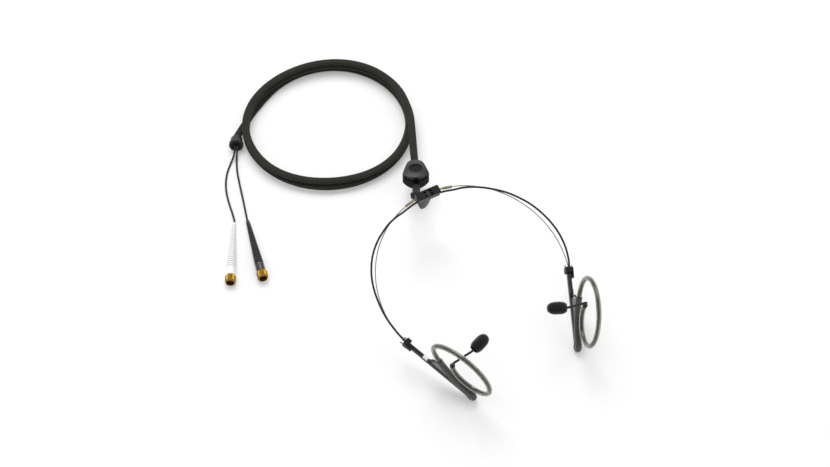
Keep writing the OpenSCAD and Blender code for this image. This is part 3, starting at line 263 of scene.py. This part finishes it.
# A point ahead of one on the coil, along its tangent
def besideCoil(turn, ahead):
    return coilPoint(turn) + ahead * np.array([-sine(turn), cosine(turn), 0])


neck = {"across": -4.4, "behind": 2.6, "height": -9.8, "dip": 46, "seat": 3, "straight": 5}
neckOut = np.array([0, cosine(neck["dip"]), -sine(neck["dip"])])
neckSeat = np.array([neck["across"], apexY + neck["behind"], neck["height"]]) + neck["seat"] * neckOut
neckDirection = toWorld(neckSeat + neckOut) - toWorld(neckSeat)
riseRoute = [toWorld(neckSeat), toWorld(neckSeat) + neck["straight"] * neckDirection, [1.5, 103.5, 30.6],
    laid(clip, 0, -16, 1.1), laid(clip, 0, -11, 0), laid(clip, 0, 0, 0), laid(clip, 0, 12, 0),
    laid(clip, 0, 17, 0.2), [31.5, 162, 11.2], [40, 180, high], besideCoil(cord["from"], -2 * cord["width"])]
tailRoute = [besideCoil(cord["to"], cord["width"]), [-64, 269.2, 1.9], [-74, 261.6, 1.9], [-80.8, 256.2, 2],
    laid(splitter, 0, splitter["length"] + 4.5, -1), laid(splitter, 0, splitter["length"] + 0.5, -0.1),
    laid(splitter, 0, 5.75, 0)]
coilRoute = [coilPoint(turn) for turn in np.linspace(cord["from"], cord["to"], cord["points"])]
cordLine = curve(np.vstack([riseRoute, coilRoute, tailRoute]), step=0.62)
mainCord = tubePiece("mainCord", cordLine, cord["width"], cord["thickness"], 36, power=2.5, level=True)
leads = {"diameter": 1.6, "apart": 1, "grip": 3,
    "white": [[-98.6, 232.6, 3.4], [-103.2, 228.8, 1], [-110.4, 220.6, 1], [-116.2, 211.2, 1],
        [-120.2, 201.4, 1], [-122.9, 191.6, 1], [-124.9, 182, 1]],
    "black": [[-96.3, 231.6, 3.4], [-98.6, 227.4, 1], [-102.6, 218, 1], [-105.8, 208.2, 1],
        [-108.7, 198.4, 1], [-111.6, 188.6, 1], [-114.4, 179.4, 1]]}
tipEnd = plug["nutLength"] + plug["relief"]
for side, name in ((-1, "white"), (1, "black")):
    across = side * leads["apart"]
    leads[name] = [laid(splitter, across, splitter["plugFrom"] + leads["grip"], 0),
        laid(splitter, across, 0, 0), laid(splitter, across, -2.6, -0.9), *leads[name],
        laid(plugs[name], 0, tipEnd + 3, 0), laid(plugs[name], 0, tipEnd - leads["grip"], 0)]
leadLines = {side: curve(leads[side], step=0.5) for side in plugs}
leadPieces = {side: tubePiece(side + "Lead", line, leads["diameter"], leads["diameter"], columns=20)
    for side, line in leadLines.items()}
print("cords made:", round(lengthOf(cordLine)), "mm of braid")

prefix = "ShaderNode"


# One output of a shader node. Arithmetic on it adds Math nodes
class Sock:
    def __init__(self, look, link):
        self.look, self.link = look, link

    def math(self, operation, *others):
        return self.look.add("Math", {"operation": operation}, [self, *others])


# A method that does one operation on a Sock and a number or another Sock
def operator(operation, swapped=False):
    def method(self, other):
        return self.look.add("Math", {"operation": operation}, [other, self] if swapped else [self, other])

    return method


words = {"add": "ADD", "sub": "SUBTRACT", "mul": "MULTIPLY", "truediv": "DIVIDE", "mod": "FLOORED_MODULO"}
for word, operation in words.items():
    setattr(Sock, f"__{word}__", operator(operation))
    setattr(Sock, f"__r{word}__", operator(operation, True))
Sock.__gt__ = operator("GREATER_THAN")
Sock.__lt__ = operator("LESS_THAN")


# A grey as a colour
def grey(tone):
    return (tone, tone, tone, 1)


# A shader tree, whose nodes are added with their settings and inputs
class Shader:
    def __init__(self, tree):
        self.tree = tree

    def plug(self, socket, value):
        if isinstance(value, Sock):
            self.tree.links.new(value.link, socket)
        else:
            socket.default_value = value

    def add(self, kind, settings=None, inputs=(), output=0):
        made = self.tree.nodes.new(prefix + kind)
        for name, value in (settings or {}).items():
            if name == "stops":
                ramp = made.color_ramp.elements
                while len(ramp) < len(value):
                    ramp.new(0.5)
                for stop, (place, colour) in zip(ramp, value):
                    stop.position, stop.color = place, colour
            else:
                setattr(made, name, value)
        for key, value in inputs.items() if isinstance(inputs, dict) else enumerate(inputs):
            self.plug(made.inputs[key], value)
        return Sock(self, made.outputs[output])

    # The three parts of a vector
    def split(self, vector):
        return [Sock(self, part) for part in self.add("SeparateXYZ", inputs=[vector]).link.node.outputs]


# A material, and the nodes that feed its shader
class Look(Shader):
    def __init__(self, name, **constants):
        self.material = bpy.data.materials.new(name)
        self.material.use_nodes = True
        super().__init__(self.material.node_tree)
        self.shader = self.tree.nodes["Principled BSDF"]
        self.feed(**constants)

    # Values or Socks for the inputs of the shader
    def feed(self, **values):
        for name, value in values.items():
            self.plug(self.shader.inputs[name.replace("_", " ")], value)

    # Object coordinates in millimetres, stretched by a factor on each axis
    def place(self, stretch=(1, 1, 1)):
        here = self.add("TexCoord", output="Object")
        return self.add("VectorMath", {"operation": "MULTIPLY"}, [here, [1000 * s for s in stretch]])

    # Distance round and along the surface of a swept piece, in millimetres
    def surface(self, girth):
        share, along = self.split(self.add("UVMap", {"uv_map": "surface"}))[:2]
        return share * girth, along

    # Noise with features of a size in millimetres
    def noise(self, size, detail=2.0, vector=None, rough=0.5):
        inputs = {"Vector": vector or self.place(), "Scale": 1 / size, "Detail": detail, "Roughness": rough}
        return self.add("TexNoise", inputs=inputs)

    # The second colour over the first by a factor
    def mix(self, factor, first, second):
        return self.add("Mix", {"data_type": "RGBA"}, {0: factor, 6: first, 7: second}, 2)

    # Greys at places along a value
    def ramp(self, value, *stops):
        return self.add("ValToRGB", {"stops": [(place, grey(tone)) for place, tone in stops]}, [value])

    # Bump of a height of 1 that stands for a distance in millimetres
    def bump(self, height, distance, strength=1.0):
        return self.add("Bump", inputs={"Height": height, "Distance": distance * mm, "Strength": strength})


# A colour written as on screen, made linear
def shade(colour, gain=1.0):
    value = [int(colour[i : i + 2], 16) / 255 for i in (1, 3, 5)]
    linear = [v / 12.92 if v < 0.04045 else ((v + 0.055) / 1.055) ** 2.4 for v in value]
    return (*(min(1.0, gain * v) for v in linear), 1)


# Moulded plastic or rubber: a fine spark-eroded grain, slow mottling and paler rubbed spots. A plug has
# painted shade in its grooves, which lie at equal steps along it, and a lid a badge: a darker, partly
# metallic round field
def moulded(name, colour, rough=0.5, grain=0.22, depth=0.012, rubbed=0.25, gloss=0.28, mottle=0.2,
        grooved=None, grooveShade=0.4, badge=None):
    look = Look(name, Specular_IOR_Level=gloss)
    slow = look.noise(6.0, 3)
    fine = look.noise(grain, 3, rough=0.6)
    spots = look.ramp(look.noise(1.6, 5, rough=0.7), (0.52, 0.0), (0.72, 1.0))
    base = look.mix(slow, shade(colour, 1 - mottle), shade(colour, 1 + mottle))
    if grooved:
        start, step = plug["ribsFrom"], plug["ribPitch"]
        end = plug["nutLength"] + plug["relief"] - plug["bareTip"]
        first, last = plug["groove"]
        ahead = [b - a for a, b in zip(laid(grooved, 0, 0, 0), laid(grooved, 0, 1, 0))]
        origin = sum(a * b for a, b in zip(grooved["at"], ahead))
        along = look.add("VectorMath", {"operation": "DOT_PRODUCT"}, [look.place(), ahead], "Value") - origin
        share = ((along - start) / step).math("FRACT")
        groove = (share > first) * (share < last) * (along > start) * (along < end)
        # Painted shade: the grooves are darkened towards a dark copy of the colour
        base = look.mix(groove * grooveShade, base, shade(colour, 0.15))
    if badge:
        reach = look.add("VectorMath", {"operation": "DISTANCE"}, [look.place(), badge["at"]], "Value")
        inside = (reach < badge["radius"]) * badge["tone"]
        base = look.mix(inside, base, shade(colour, 0.4))
        look.feed(Metallic=inside)
    look.feed(Base_Color=look.mix(spots * rubbed, base, shade(colour, 2.2)))
    look.feed(Roughness=rough - 0.06 + 0.12 * slow + 0.1 * (fine - 0.5))
    look.feed(Normal=look.bump(fine, depth, 0.6))
    return look.material


# Metal: fine scratches along one axis over a dull or bright ground, darker where it has tarnished
def metal(name, colour, rough=0.3, stretch=(1, 1, 8), tarnish=0.3, metallic=1.0):
    look = Look(name, Metallic=metallic)
    lines = look.noise(0.35, 3, look.place(stretch))
    patches = look.ramp(look.noise(1.8, 4), (0.4, 0.0), (0.75, 1.0))
    look.feed(Base_Color=look.mix(patches * tarnish, shade(colour), shade(colour, 0.45)))
    look.feed(Roughness=rough + 0.2 * (lines - 0.5) + 0.15 * patches)
    look.feed(Normal=look.bump(lines, 0.01, 0.5))
    return look.material


# Flat braid: two families of yarns cross at 45 degrees. Where the sum of their counts is below two
# in each four, the first lies on top. A yarn's height is a parabola across it, its threads finer ones
def braid(name, dark, light, yarn, girth):
    look = Look(name, Sheen_Weight=0.06, Sheen_Roughness=0.4, Specular_IOR_Level=0.15)
    around, along = look.surface(girth)
    first, second = (around + along) / yarn, (along - around + girth * 8) / yarn
    count = first.math("FLOOR") + second.math("FLOOR")
    over = (count % 4) < 1.5
    highs = []
    for position in (first, second):
        part = position.math("FRACT")
        threads = (part * 4).math("FRACT") * 2 - 1
        centre = part * 2 - 1
        highs.append((1 - centre * centre) * 0.8 + (1 - threads * threads) * 0.2)
    height = over * highs[0] + (1 - over) * highs[1] * 0.75
    slow = look.noise(9.0, 2)
    flecks = look.ramp(look.noise(0.7, 4, rough=0.7), (0.45, 0.0), (0.75, 1.0))
    # Painted shade and highlight: the colour follows the yarns' height, dark in the hollows and on the lower
    # yarns, light on the crowns
    base = look.mix(height, shade(dark), shade(light))
    base = look.mix(slow * 0.35, base, shade(dark))
    look.feed(Base_Color=look.mix(flecks * 0.3, base, shade(light, 1.7)))
    look.feed(Roughness=0.62 + 0.2 * slow - 0.1 * height)
    look.feed(Normal=look.bump(height, 0.2, 1.0))
    return look.material


# Jacket of a thin cable: a satin skin with slow waves and a faint lengthwise draw
def jacket(name, colour, girth, rough=0.42):
    look = Look(name, Specular_IOR_Level=0.3)
    around, along = look.surface(girth)
    drawn = look.noise(1.0, 3, look.add("CombineXYZ", inputs=[around * 3, along * 0.25, 0.0]))
    waves = look.noise(4.0, 2)
    look.feed(Base_Color=look.mix(drawn, shade(colour, 0.75), shade(colour, 1.35)))
    look.feed(Roughness=rough + 0.14 * (waves - 0.5) + 0.1 * (drawn - 0.5))
    look.feed(Normal=look.bump(drawn, 0.02, 0.5))
    return look.material


# Open-cell foam: rounded cells, with painted shade in the pores between them and a painted highlight on the
# high fibres
def foam(name, colour, cell=0.3):
    look = Look(name, Sheen_Weight=0.8, Sheen_Roughness=0.4, Specular_IOR_Level=0.1)
    inputs = {"Vector": look.place(), "Scale": 1 / cell, "Randomness": 1.0}
    cells = look.add("TexVoronoi", {"feature": "F1"}, inputs)
    bits = look.noise(0.12, 3, rough=0.6)
    high = cells * 0.8 + bits * 0.4
    # Painted shade and highlight: the colour follows the cells' height, dark in the pores and pale on the
    # high fibres
    base = look.mix(look.ramp(high, (0.25, 0.0), (0.75, 1.0)), shade(colour, 0.35), shade(colour, 1.9))
    look.feed(Base_Color=look.mix(look.noise(2.5, 2) * 0.4, base, shade(colour, 1.2)))
    look.feed(Roughness=0.85 + 0.12 * bits)
    look.feed(Normal=look.bump(high, 0.1, 0.8))
    return look.material


# Twisted spring wire: strands wind round its length, with painted shade between them and a painted highlight
# on them
def strands(name, colour):
    look = Look(name, Metallic=0.3, Specular_IOR_Level=0.3)
    x, y, z = look.split(look.place())
    lay = ((x * 0.8 + y * 0.8 + z * 1.5) * 4.2).math("SINE") * 0.5 + 0.5
    patches = look.noise(2.4, 3)
    # Painted shade and highlight: the colour follows the strands' lay, darker between them
    base = look.mix(lay, shade(colour, 0.6), shade(colour, 1.15))
    look.feed(Base_Color=look.mix(patches * 0.35, base, shade("#6f6757")))
    look.feed(Roughness=0.34 + 0.18 * patches)
    look.feed(Normal=look.bump(lay, 0.05, 0.5))
    return look.material


# Clear tube: smoky, with faint haze in its colour and gloss and slow waves in its surface
def clearTube(name, colour):
    look = Look(name, Transmission_Weight=1.0, IOR=1.42, Coat_Weight=0.2, Coat_Roughness=0.05)
    haze = look.noise(2.2, 4)
    look.feed(Base_Color=look.mix(haze, shade(colour, 0.85), shade(colour, 1.1)))
    look.feed(Roughness=0.03 + 0.08 * haze)
    look.feed(Normal=look.bump(look.noise(9.0, 1), 0.01, 0.2))
    return look.material


# One material for solids, in place of all their own
def dress(material, *names):
    for name in names:
        mesh = nodes[name].data
        if not mesh.materials:
            mesh.materials.append(material)
        for index in range(len(mesh.materials)):
            mesh.materials[index] = material


# Names of a solid on the left and on the right
def both(name):
    return "left_" + name, "right_" + name


dress(moulded("blackPlastic", "#101010", 0.42), "block_housing", *both("collar"))
dress(moulded("coverPlastic", "#0c0c0c", 0.5, 0.5, 0.02, gloss=0.12), "block_back_cover")
dress(moulded("saddlePlastic", "#33332f", 0.4), "wire_lock")
dress(moulded("armPlastic", "#0b0b0a", 0.25, 0.3, 0.016, gloss=0.9), *both("ear_arm"))
dress(strands("springWire", "#8f866c"), *both("band_wire"))
dress(metal("crimpMetal", "#8d8672", 0.4), *both("tail_crimp"))
dress(moulded("whiteSleeve", "#ecece9", 0.4, rubbed=0.05, mottle=0.04), "left_marker_sleeve")
dress(moulded("redSleeve", "#2d1e1c", 0.4, rubbed=0.05), "right_marker_sleeve")
dress(metal("ferruleMetal", "#958e7b", 0.35, tarnish=0.1, metallic=0.35), *both("ferrule"))
dress(moulded("tubeCore", "#5a5b50", 0.5, 0.4, rubbed=0.04, mottle=0.04), *both("ring_cable"))
dress(metal("coreWire", "#8d8a7c", 0.4, tarnish=0.1), *both("ring_wire"))
dress(moulded("bushPlastic", "#4e4e48", 0.5), *both("tube_plug"))
dress(moulded("capsulePlastic", "#1b1b1b", 0.5), *both("mic_capsule"))
dress(metal("gridMetal", "#8d887b", 0.35), *both("mic_grid"))
# Painted shade: the clip's body is darker and duller than its shell, standing for the shade of the hollow
# under the lid
dress(moulded("clipPlastic", "#070707", 0.4, rubbed=0.1, gloss=0.15), "clip_body")
badge = {"at": laid(clip, 0, -1, 8.9), "radius": 5.5, "tone": 0.75}
dress(moulded("clipShell", "#161616", 0.33, 0.3, gloss=0.4, badge=badge), "clip_jaw")
dress(metal("springSteel", "#a8a8a2", 0.25), "clip_hinge_pin", "clip_spring")
dress(moulded("splitterPlastic", "#222221", 0.4, gloss=0.4), "splitter_sleeve")
dress(moulded("splitterCore", "#121212", 0.6), "splitter_plug")
dress(moulded("whiteRelief", "#f0f0ee", 0.45, 0.3, rubbed=0.03, mottle=0.02, grooved=plugs["white"],
    grooveShade=0.08), "white_strain_relief")
dress(moulded("blackRelief", "#1d1d1c", 0.3, 0.3, gloss=0.62, grooved=plugs["black"], grooveShade=0.9),
    "black_strain_relief")
gold = metal("goldPlate", "#9c7c30", 0.3, (3, 3, 3), tarnish=0.12)
dress(gold, *(c + n for c in ("white_", "black_") for n in ("plug_body", "centre_pin", "coupling_nut")))
dress(moulded("insulatorPlastic", "#4c4330", 0.4, rubbed=0.05), "white_insulator", "black_insulator")
print("solids dressed")

# The braided cord and the leads, each with its material, joined to the block's body in place of the model's
# own
mainCord.data.materials.append(braid("cordBraid", "#0b0b0a", "#35352f", yarn=1.1, girth=16.0))
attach(mainCord, "block")
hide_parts("cord_rise", "cord_coil", "cord_tail")
leadJacket = jacket("leadJacket", "#1c1c1c", girth=5.0)
for side, piece in leadPieces.items():
    piece.data.materials.append(leadJacket)
    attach(piece, "block")
    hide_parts(side + "_lead")
print("cords dressed")

# Cables of the microphones, on the wires and up the ear arms, and their booms
cableSize = {"cable": 1.6, "boom": 1.84, "port": -2.2, "low": -1.4, "over": 2.4, "swing": 3.4, "seat": 2.25,
    "fromHook": (1.2, -6.2), "entry": 125}
# Lengths along the wire, and how far out the cable lies there, as a share of its swing
swings = {"left": [[33, -0.4], [38, -0.12], [45, 0.2], [58, 0.66], [70, 0.97], [81, 1.04], [92, 0.96],
        [104, 0.72], [120, 0.45], [136, 0.2]],
    "right": [[33, -0.6], [39, -0.42], [48, -0.22], [60, 0.13], [70, 0.42], [84, 0.77], [98, 0.93], [112, 1],
        [125, 0.82], [137, 0.42]]}
port, low, seat = cableSize["port"], cableSize["low"], cableSize["seat"]
startRoute = [[7.8, port, low], [14, port, low], [19, port, low], [23, port, low + 0.6], [28, port, 1.4]]
# The ring in the plane of the ear: arcs of a radius and a turn, from the foot of the arm to the boom
ring = {"lead": -4, "hookTurn": 51, "tube": 4, "bore": 3.1,
    "arcs": ((42, 60), (20.5, 60), (28.5, 80), (23, 80), (19.5, 80), (14.5, 90))}


# Points of an arc of the ring: middle + radius * (sin turn, -cos turn)
def onArc(middle, radius, turn):
    t = np.radians(turn)
    return middle + radius * np.stack([np.sin(t), -np.cos(t)], -1)


ringArcs = []
heading = ring["lead"]
place = arm["footTurn"] * np.array([-sine(heading), 1 + cosine(heading)])
for radius, sweep in ring["arcs"]:
    middle = place + radius * np.array([-sine(heading), cosine(heading)])
    ringArcs.append((middle, radius, heading, heading + sweep))
    heading += sweep
    place = onArc(middle, radius, heading)
hookEnd = onArc(*ringArcs[0][:2], ring["lead"] + ring["hookTurn"])
portPlace = hookEnd + np.array(cableSize["fromHook"])
portAlong = np.array([cosine(cableSize["entry"]), sine(cableSize["entry"])])
climbRoute = [[46.1, seat], [41.9, seat], [40.6, seat + 1], [39.6, seat + 2.9], [38.8, seat + 5],
    [38, seat + 7.2], *(portPlace + step * portAlong for step in (-1.6, 0, 2.2))]


# Points round a bend of a radius from one direction to another:
# point + radius * (sin t * a + (1 - cos t) * square), with square in the plane of both and square to a
def bend(point, a, b, radius, steps):
    square = unit(b - (a @ b) * a)
    t = np.linspace(0, np.arccos(a @ b), steps)[:, None]
    return point + radius * (np.sin(t) * a + (1 - np.cos(t)) * square)


# Middle line of the clear tube: points of each arc of the ring, from where it leaves the hook to the boom
def ringLine(step):
    parts = []
    for middle, radius, start, end in ringArcs:
        first = start if parts else start + ring["hookTurn"]
        parts.append(onArc(middle, radius, np.linspace(first, end, 60)))
    line = np.vstack([parts[0], *(part[1:] for part in parts[1:])])
    return even(np.insert(line, 0, 0, axis=1), step)


# Pipe: point = line + (side * cos + upper * sin) * half a diameter, with the outer wall forth and the bore
# back, closed at both rims
def pipePiece(name, line, outer, inner, columns):
    side, upper = directions(line, False)
    angle = np.linspace(0, 2 * np.pi, columns, endpoint=False)[None, :, None]
    out = np.cos(angle) * side[:, None] + np.sin(angle) * upper[:, None]
    walls = [line[:, None] + out * outer / 2, (line[:, None] + out * inner / 2)[::-1]]
    return gridPiece(name, np.vstack(walls), ring=True)


boom = {"rise": 2.8, "reach": 13, "inward": unit(np.array([-1, -0.31, 0.12])), "bend": 2.4, "lastBend": 14,
    "inside": 2}
boomUp = np.array([0, cosine(heading), sine(heading)])
boomFrom = np.array([0, *place])
capsule = {"ahead": unit(np.array([-1, -0.05, 0])), "diameter": 5.4}
firstBend = bend(boomFrom + boom["rise"] * boomUp, boomUp, boom["inward"], boom["bend"], 5)
straightEnd = firstBend[-1] + boom["reach"] * boom["inward"]
lastBend = bend(straightEnd, boom["inward"], capsule["ahead"], boom["lastBend"], 4)
capsule["at"] = lastBend[-1] + capsule["ahead"]
boomRoute = np.vstack([boomFrom - boom["inside"] * boomUp, boomFrom, firstBend, lastBend, capsule["at"]])


# Smooth random field on points: sums of sines in seeded directions, finer and weaker from octave to octave
def ripple(points, size, octaves, seed, waves=5):
    rng = np.random.default_rng(seed)
    total = np.zeros(points.shape[:-1])
    for octave in range(octaves):
        for wave in range(waves):
            turns = points @ unit(rng.normal(size=3)) * 2 * np.pi * 2**octave / size
            total += np.sin(turns + rng.uniform(0, 6.3)) / waves / 1.6**octave
    return total


# Sizes of a windscreen. Each field in its skin has a depth, a size and a seed. The skin lies in by the sink
windscreen = {"length": 15, "diameter": 9.8, "lap": 1.5, "gap": 0.3, "bore": 13.5, "lip": 0.4, "back": 3.6,
    "tip": 2.6, "round": 2.4, "rows": 70, "columns": 150, "fields": ((0.08, 3.1, 4), (0.04, 0.9, 9)),
    "sink": 0.08}


# Foam: a closed profile turned about its capsule's axis, from the bottom of the bore past the lip to the tip.
# Outside radius = half the diameter * (1 - |2s - 1| ** blunt) ** (1 / round), blunter at the back than at the
# tip, where s runs from the share at which the radius is the lip's to 1
def windscreenGrid(side):
    w = windscreen
    bore = capsule["diameter"] / 2 + w["gap"]
    lipRadius = bore + w["lip"]
    first = (1 - (1 - (2 * lipRadius / w["diameter"]) ** w["round"]) ** (1 / w["back"])) / 2
    t = (1 - np.cos(np.linspace(0, np.pi, w["rows"]))) / 2
    s = first + (1 - first) * t
    blunt = np.where(s < 0.5, w["back"], w["tip"])
    outer = w["diameter"] / 2 * np.maximum(1 - np.abs(2 * s - 1) ** blunt, 0) ** (1 / w["round"])
    wall = [[0.05, w["bore"]], [bore, w["bore"]], [bore, w["bore"] / 2], [bore, 0.4]]
    lip = np.array([*wall, [bore + 0.1, 0.12], [bore + 0.3, 0.02]])
    radius = np.append(lip[:, 0], np.maximum(outer, 0.02))
    height = np.append(lip[:, 1], t * w["length"]) - w["lap"]
    angle = np.linspace(0, 2 * np.pi, w["columns"], endpoint=False)
    ahead = np.array(capsule["ahead"])
    acrossA = unit(np.cross(ahead, up))
    acrossB = np.cross(acrossA, ahead)
    out = np.cos(angle)[None, :, None] * acrossA + np.sin(angle)[None, :, None] * acrossB
    base = np.array(capsule["at"]) + height[:, None, None] * ahead
    plain = base + radius[:, None, None] * out
    onSkin = np.append(np.zeros(len(lip)), np.ones(len(t)))[:, None]
    waves = sum(depth * ripple(plain, size, 2, seed + side) for depth, size, seed in w["fields"])
    push = onSkin * (waves - w["sink"]) * np.minimum(1, radius / 1.5)[:, None]
    return base + (radius[:, None, None] + push[..., None]) * out


cableJacket = jacket("cableJacket", "#151515", girth=5.0, rough=0.4)
boomSkin = jacket("boomSkin", "#1c1c1b", girth=4.7, rough=0.34)
foamSkin = foam("windscreenFoam", "#141414")
tubeSkin = clearTube("smokyTube", "#bcbcb4")
for side, name in ((-1, "left"), (1, "right")):
    tubeLine = toWorld(onArm(ringLine(step=0.6)), side)
    pipe = pipePiece(name + "Tube", tubeLine, ring["tube"], ring["bore"], columns=40)
    pipe.data.materials.append(tubeSkin)
    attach(pipe, name + "_half")
    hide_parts(name + "_ring_tube")
    route = [bandPoint(*p) for p in startRoute]
    route += [bandPoint(u, share * cableSize["swing"], cableSize["over"]) for u, share in swings[name]]
    strut = onArm([[0, arm["length"], seat], [0, 58, seat]], 0)
    climb = onArm([[0, a, b] for a, b in climbRoute])
    cableLine = toWorld(curve(np.vstack([route, strut, climb]), step=0.8), side)
    cable = tubePiece(name + "MicCable", cableLine, cableSize["cable"], cableSize["cable"], columns=18)
    cable.data.materials.append(cableJacket)
    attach(cable, name + "_half")
    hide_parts(name + "_mic_cable")
    boomLine = toWorld(onArm(curve(boomRoute, step=0.4)), side)
    stalk = tubePiece(name + "Boom", boomLine, cableSize["boom"], cableSize["boom"], columns=20)
    stalk.data.materials.append(boomSkin)
    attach(stalk, name + "_boom")
    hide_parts(name + "_mic_boom")
    skin = gridPiece(name + "Windscreen", toWorld(onArm(windscreenGrid(side)), side)[:, ::side])
    skin.data.materials.append(foamSkin)
    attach(skin, name + "_foam")
    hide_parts(name + "_windscreen")
print("cables, booms and windscreens made")

# Paper floor, pale sky and one soft light, in metres
studio = {"reach": 9, "floor": 0.8, "patches": 0.99, "glow": 0.17, "horizon": 1.15, "zenith": 0.55,
    "key": 20.0, "keyPlace": (0.2, 1.05, 1.7), "keySize": 1.5, "aim": (-0.02, 0.08, 0.0)}
floorMesh = bpy.data.meshes.new("floor")
signs = ((-1, -1), (1, -1), (1, 1), (-1, 1))
floorMesh.from_pydata([(x * studio["reach"], y * studio["reach"], 0) for x, y in signs], [], [(0, 1, 2, 3)])
floor = bpy.data.objects.new("floor", floorMesh)
bpy.context.scene.collection.objects.link(floor)
paper = Look("paperFloor", Roughness=0.9, Specular_IOR_Level=0.1)
tones = [grey(studio["floor"] * share) for share in (studio["patches"], 1)]
paper.feed(Base_Color=paper.mix(paper.noise(40.0, 2), *tones))
kinds = ("Is Camera Ray", "Is Glossy Ray", "Is Transmission Ray")
rays = [paper.add("LightPath", output=kind) for kind in kinds]
seen = rays[0].math("MAXIMUM", rays[1]).math("MAXIMUM", rays[2])
plain = Sock(paper, paper.shader.outputs[0])
glow = paper.add("Emission", inputs={"Color": grey(1), "Strength": studio["glow"]})
floorShader = paper.add("MixShader", inputs=[seen, plain, paper.add("AddShader", inputs=[plain, glow])])
paper.plug(paper.tree.nodes["Material Output"].inputs["Surface"], floorShader)
floorMesh.materials.append(paper.material)

# Pale light from all of the sky, brightest at the horizon
world = bpy.data.worlds.new("studio")
bpy.context.scene.world = world
world.use_nodes = True
sky = Shader(world.node_tree)
height = sky.split(sky.add("TexCoord"))[2]
levels = {"Value": height, "To Min": studio["horizon"], "To Max": studio["zenith"]}
background = sky.tree.nodes["Background"]
sky.plug(background.inputs["Color"], grey(1))
sky.plug(background.inputs["Strength"], sky.add("MapRange", inputs=levels))

keyData = bpy.data.lights.new("keyLight", "AREA")
keyData.shape = "DISK"
keyData.size = studio["keySize"]
keyData.energy = studio["key"]
aimed("keyLight", keyData, studio["keyPlace"], studio["aim"])

bpy.context.scene.view_settings.view_transform = "Standard"
print("scene ready")
